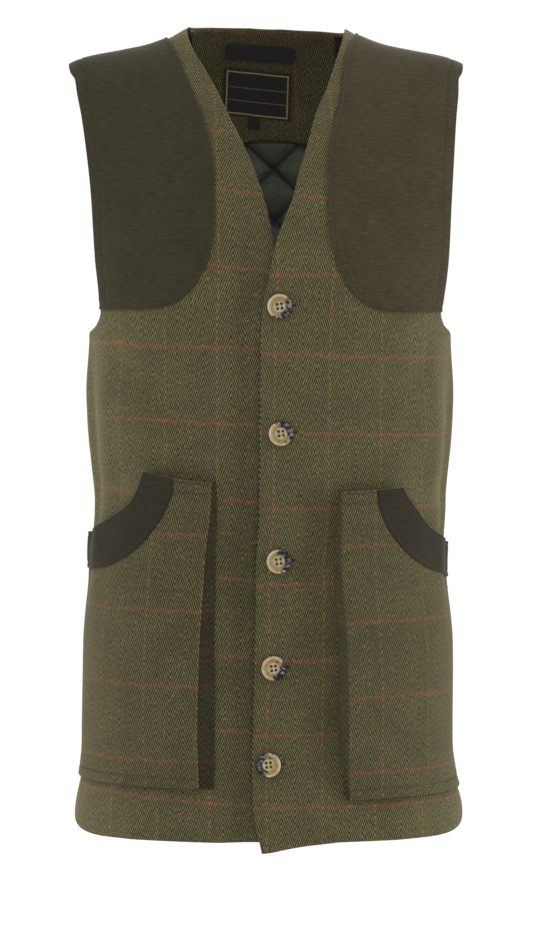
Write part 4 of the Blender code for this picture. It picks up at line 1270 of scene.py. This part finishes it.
    for distance, at, first in ((from_hand, TRIM_HAND_SEAM, 2), (from_far, TRIM_FAR_SEAM, 12)):
        columns, rows = crossings(distance.T, at, range(first, run.size - 2))
        paths.append(grid_line(seats, ways, rows, columns))
    for at in (BAND_TOP_SEAM, BAND):
        paths.append(grid_line(seats, ways, *crossings(from_top, at, range(3, share.size - 3))))
    sew("trim_stitching_" + hand, paths, dark_thread)


# Buttons: five round horn buttons, dished, with four holes, sewn to the under front with pale
# thread. Each comes out at the end of a buttonhole worked in dark thread in the lapped front.
# The middle of each button, from the top down: out, height.
BUTTONS = ((0.0071, -0.2442), (0.0088, -0.3521), (0.0094, -0.4614), (0.0048, -0.5525), (0.0012, -0.6351))
# Where the dark end of each button points, in degrees, how much of it is dark, and a shift of
# its grain.
HORN_ENDS = ((-40, 0.50, 1.3), (32, 0.66, 4.1), (18, 0.66, 7.7), (-28, 0.62, 2.6), (165, 0.66, 9.2))
# Half of a button's outline, from its back edge to the dish: number, radius, rise.
BUTTON_OUTLINE = np.array((
    (0, 0.0086, 0.0000), (1, 0.0101, 0.0006), (2, 0.0105, 0.0018), (3, 0.0101, 0.0029), (4, 0.0091, 0.0036),
    (5, 0.0079, 0.0033), (6, 0.0068, 0.0021), (7, 0.0058, 0.0019), (8, 0.0050, 0.0012), (9, 0.0043, 0.0010),
), float)
BUTTON_SIDES = 96
BUTTON_STAND = 0.0001
HOLE_RADIUS = 0.00125
HOLE_OFFSET = 0.0019
HOLES_TURNED = math.radians(6.0)
HOLE_FLOOR = 0.0002
THREAD_RISE = 0.0010
THREAD_SPREAD = 0.0002
BUTTONHOLE_START = -0.004
BUTTONHOLE_END = 0.0131
BUTTONHOLE_RISE = 0.0009
BUTTONHOLE_STITCH = 0.0012
BUTTONHOLE_FAN = 0.0013
BUTTONHOLE_LIFT = 0.0002


def horn(name):
    """Polished horn: cream, painted darker on the dish's slope and lighter on the rim and in the middle as
    painted shade and highlight, with a dark mottled end along the x of its own coordinates.
    """
    look = Nodes(name)
    place, x = look.along("horn")[:2]
    ring = look.along("ring")[1]
    cloud = look.noise(place, 170.0, 4.0, 0.6)
    streak = look.noise(look.stretched(place, (0.35, 1.0, 1.0)), 420.0, 3.0, 0.6)
    uneven = look.math("MULTIPLY", look.math("SUBTRACT", cloud, 0.5), 2.6)
    edge = look.math("ADD", look.math("MULTIPLY", x, 95.0), uneven)
    dark = look.math("MULTIPLY", look.ramp(edge, 0.10, 0.42), look.ramp(ring, 0.0042, 0.0062))
    # Painted highlight in the middle and on the rim, painted shade on the dish's slope, by the distance from
    # the middle.
    cream_with_painted_shade = look.mix(look.ramp(ring, 0.0044, 0.0054), (0.330, 0.275, 0.165), (0.205, 0.145, 0.055))
    cream_with_painted_shade = look.mix(look.ramp(ring, 0.0078, 0.0092), cream_with_painted_shade, (0.330, 0.265, 0.170))
    cream_with_painted_shade = look.mix(look.ramp(streak, 0.40, 0.66, 0.0, 0.45), cream_with_painted_shade, (0.125, 0.086, 0.036))
    grey = look.mix(look.ramp(streak, 0.48, 0.68), (0.0024, 0.0019, 0.0017), (0.135, 0.118, 0.125))
    look.bump(streak, 0.0001, 0.3)
    return look.finish(look.mix(dark, cream_with_painted_shade, grey), 0.30, 0.18)


def make_button(number, out, height, end, share, seed, material):
    """One button, with its threads."""
    profile = np.linspace(0, 9, 31)
    dish = np.append(np.arange(0.00405, 0.0006, -0.00013), 0.0003)
    radius = np.concatenate((read(BUTTON_OUTLINE, profile, 1), dish))
    rise = np.concatenate((read(BUTTON_OUTLINE, profile, 2), np.full(len(dish), BUTTON_OUTLINE[-1, 2])))
    angle = np.arange(BUTTON_SIDES) * 2 * math.pi / BUTTON_SIDES
    x, y = radius[:, None] * np.cos(angle), radius[:, None] * np.sin(angle)
    z = np.repeat(rise[:, None], BUTTON_SIDES, 1)
    across = x * math.cos(HOLES_TURNED) + y * math.sin(HOLES_TURNED)
    along = y * math.cos(HOLES_TURNED) - x * math.sin(HOLES_TURNED)
    hole = np.hypot(np.abs(across) - HOLE_OFFSET, np.abs(along) - HOLE_OFFSET)
    z = z - (z - HOLE_FLOOR) * ease((HOLE_RADIUS - hole) / 0.00018 + 0.5)
    points = np.stack((x, y, z), -1).reshape(-1, 3)
    rings = len(radius)
    index = np.arange(rings * BUTTON_SIDES).reshape(rings, BUTTON_SIDES)
    after = np.roll(index, -1, 1)
    faces = np.stack((index[:-1], after[:-1], after[1:], index[1:]), -1).reshape(-1, 4).tolist()
    faces.append(index[0, ::-1].tolist())
    faces.append(index[-1].tolist())
    mesh = bpy.data.meshes.new("button_%d_horn" % number)
    mesh.from_pydata(points.tolist(), [], faces)
    turned = math.radians(end)
    grain = np.stack((
        points[:, 0] * math.cos(turned) + points[:, 1] * math.sin(turned) + (share - 0.5) * 0.010,
        points[:, 1] * math.cos(turned) - points[:, 0] * math.sin(turned),
        points[:, 2] + seed,
    ), -1)
    mesh.attributes.new("horn", "FLOAT_VECTOR", "POINT").data.foreach_set("vector", grain.ravel())
    # The distance from the middle: it sets the horn's painted shade and highlight rings and keeps the dark
    # end off the middle.
    ring = np.zeros_like(points)
    ring[:, 0] = np.hypot(points[:, 0], points[:, 1])
    mesh.attributes.new("ring", "FLOAT_VECTOR", "POINT").data.foreach_set("vector", ring.ravel())
    mesh.materials.append(material)
    # The hole floors take the dark buttonhole thread, as painted shade in the holes.
    mesh.materials.append(dark_thread_and_hole_shade)
    in_hole = np.append(hole[:-1].ravel() < HOLE_RADIUS * 0.9, (False, False))
    mesh.polygons.foreach_set("material_index", in_hole.astype(int))
    mesh.shade_smooth()
    mesh.set_sharp_from_angle(angle=math.radians(70))
    piece = bpy.data.objects.new("button_%d_horn" % number, mesh)
    bpy.context.scene.collection.objects.link(piece)
    level = level_at(out, height)
    turn = turn_at(out, level)
    facing = Vector(outward(-1, turn, level).tolist())
    middle = Vector(body(-1, turn, level).tolist()) + facing * BUTTON_STAND
    seat = Matrix.Translation(middle) @ facing.to_track_quat("Z", "Y").to_matrix().to_4x4()
    mesh.transform(seat)
    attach(piece, "root")
    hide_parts("button_%d" % number)
    holes = seat @ Matrix.Rotation(HOLES_TURNED, 4, "Z")
    paths = []
    for pair in (-HOLE_OFFSET, HOLE_OFFSET):
        for shift in (-THREAD_SPREAD, THREAD_SPREAD):
            line = np.array([
                (holes @ Vector((pair + shift, reach, THREAD_RISE)))[:]
                for reach in (-HOLE_OFFSET, HOLE_OFFSET)
            ])
            paths.append((line, np.array([facing[:], facing[:]])))
    sew("button_%d_thread" % number, paths, horn_thread, 0.0042, 0.00016)


def make_buttonhole(number, out, height, material):
    """The worked end of a buttonhole, to the side of its button."""
    end, middle = out + BUTTONHOLE_END, height + BUTTONHOLE_RISE
    stitches = [
        (np.array((place, place)), np.array((middle, middle + drop)))
        for drop in (BUTTONHOLE_STITCH, -BUTTONHOLE_STITCH)
        for place in np.linspace(out + BUTTONHOLE_START, end, 40)[::2]
    ]
    for fan in np.linspace(-1.2, 1.2, 5):
        reach = BUTTONHOLE_FAN * np.array(((0, math.cos(fan)), (0, math.sin(fan))))
        stitches.append((end + reach[0], middle + reach[1]))
    paths = []
    for places, heights in stitches:
        level = level_at(places, heights)
        turn = turn_at(places, level)
        paths.append((on_front(1, turn, level, BUTTONHOLE_LIFT), outward(-1, turn, level)))
    sew("buttonhole_%d" % number, paths, material, 0.0018, 0.00030)


button_horn = horn("button_horn")
# Dark thread for the buttonholes, also laid on the button holes' floors as painted shade.
dark_thread_and_hole_shade = thread_cotton("buttonhole_thread", (0.0120, 0.0120, 0.0085))
horn_thread = thread_cotton("button_thread", (0.160, 0.130, 0.080))
for number, ((out, height), (end, share, seed)) in enumerate(zip(BUTTONS, HORN_ENDS), start=1):
    make_button(number, out, height, end, share, seed, button_horn)
    make_buttonhole(number, out, height, dark_thread_and_hole_shade)


# Side tab: a small tab of dark woven tape, folded double, caught in the seam that joins the left
# front to the back.
TAB_TOP = -0.4860
TAB_DROP = 0.0070
TAB_REACH = 0.0038
TAB_TOP_SHARE = 0.35
TAB_GAP = 0.0012
TAB_BEHIND = 0.0010
TAB_THICKNESS = 0.0010
TAB_FOLD = 0.0007

seam = body(1, math.pi / 2, TAB_TOP - CHEST)
down = np.linspace(0, 1, 10)[:, None]
across = np.linspace(0, 1, 7)[None, :]
reach = TAB_REACH * (TAB_TOP_SHARE + (1 - TAB_TOP_SHARE) * down)
outer = np.stack(np.broadcast_arrays(
    seam[0] + TAB_GAP + reach * across, TAB_BEHIND + 0.0006 * across, TAB_TOP - TAB_DROP * down,
), -1)
inner = outer + np.array((0, TAB_THICKNESS, 0))
outer, inner = turned_in(outer, inner, np.minimum.reduce(from_edges(outer)), TAB_FOLD)
cloth = np.stack(np.broadcast_arrays(across * 0.004, down * 0.007), -1)
piece = hang("side_tab_woven", outer, inner, cloth, [tab_satin])
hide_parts("side_tab")
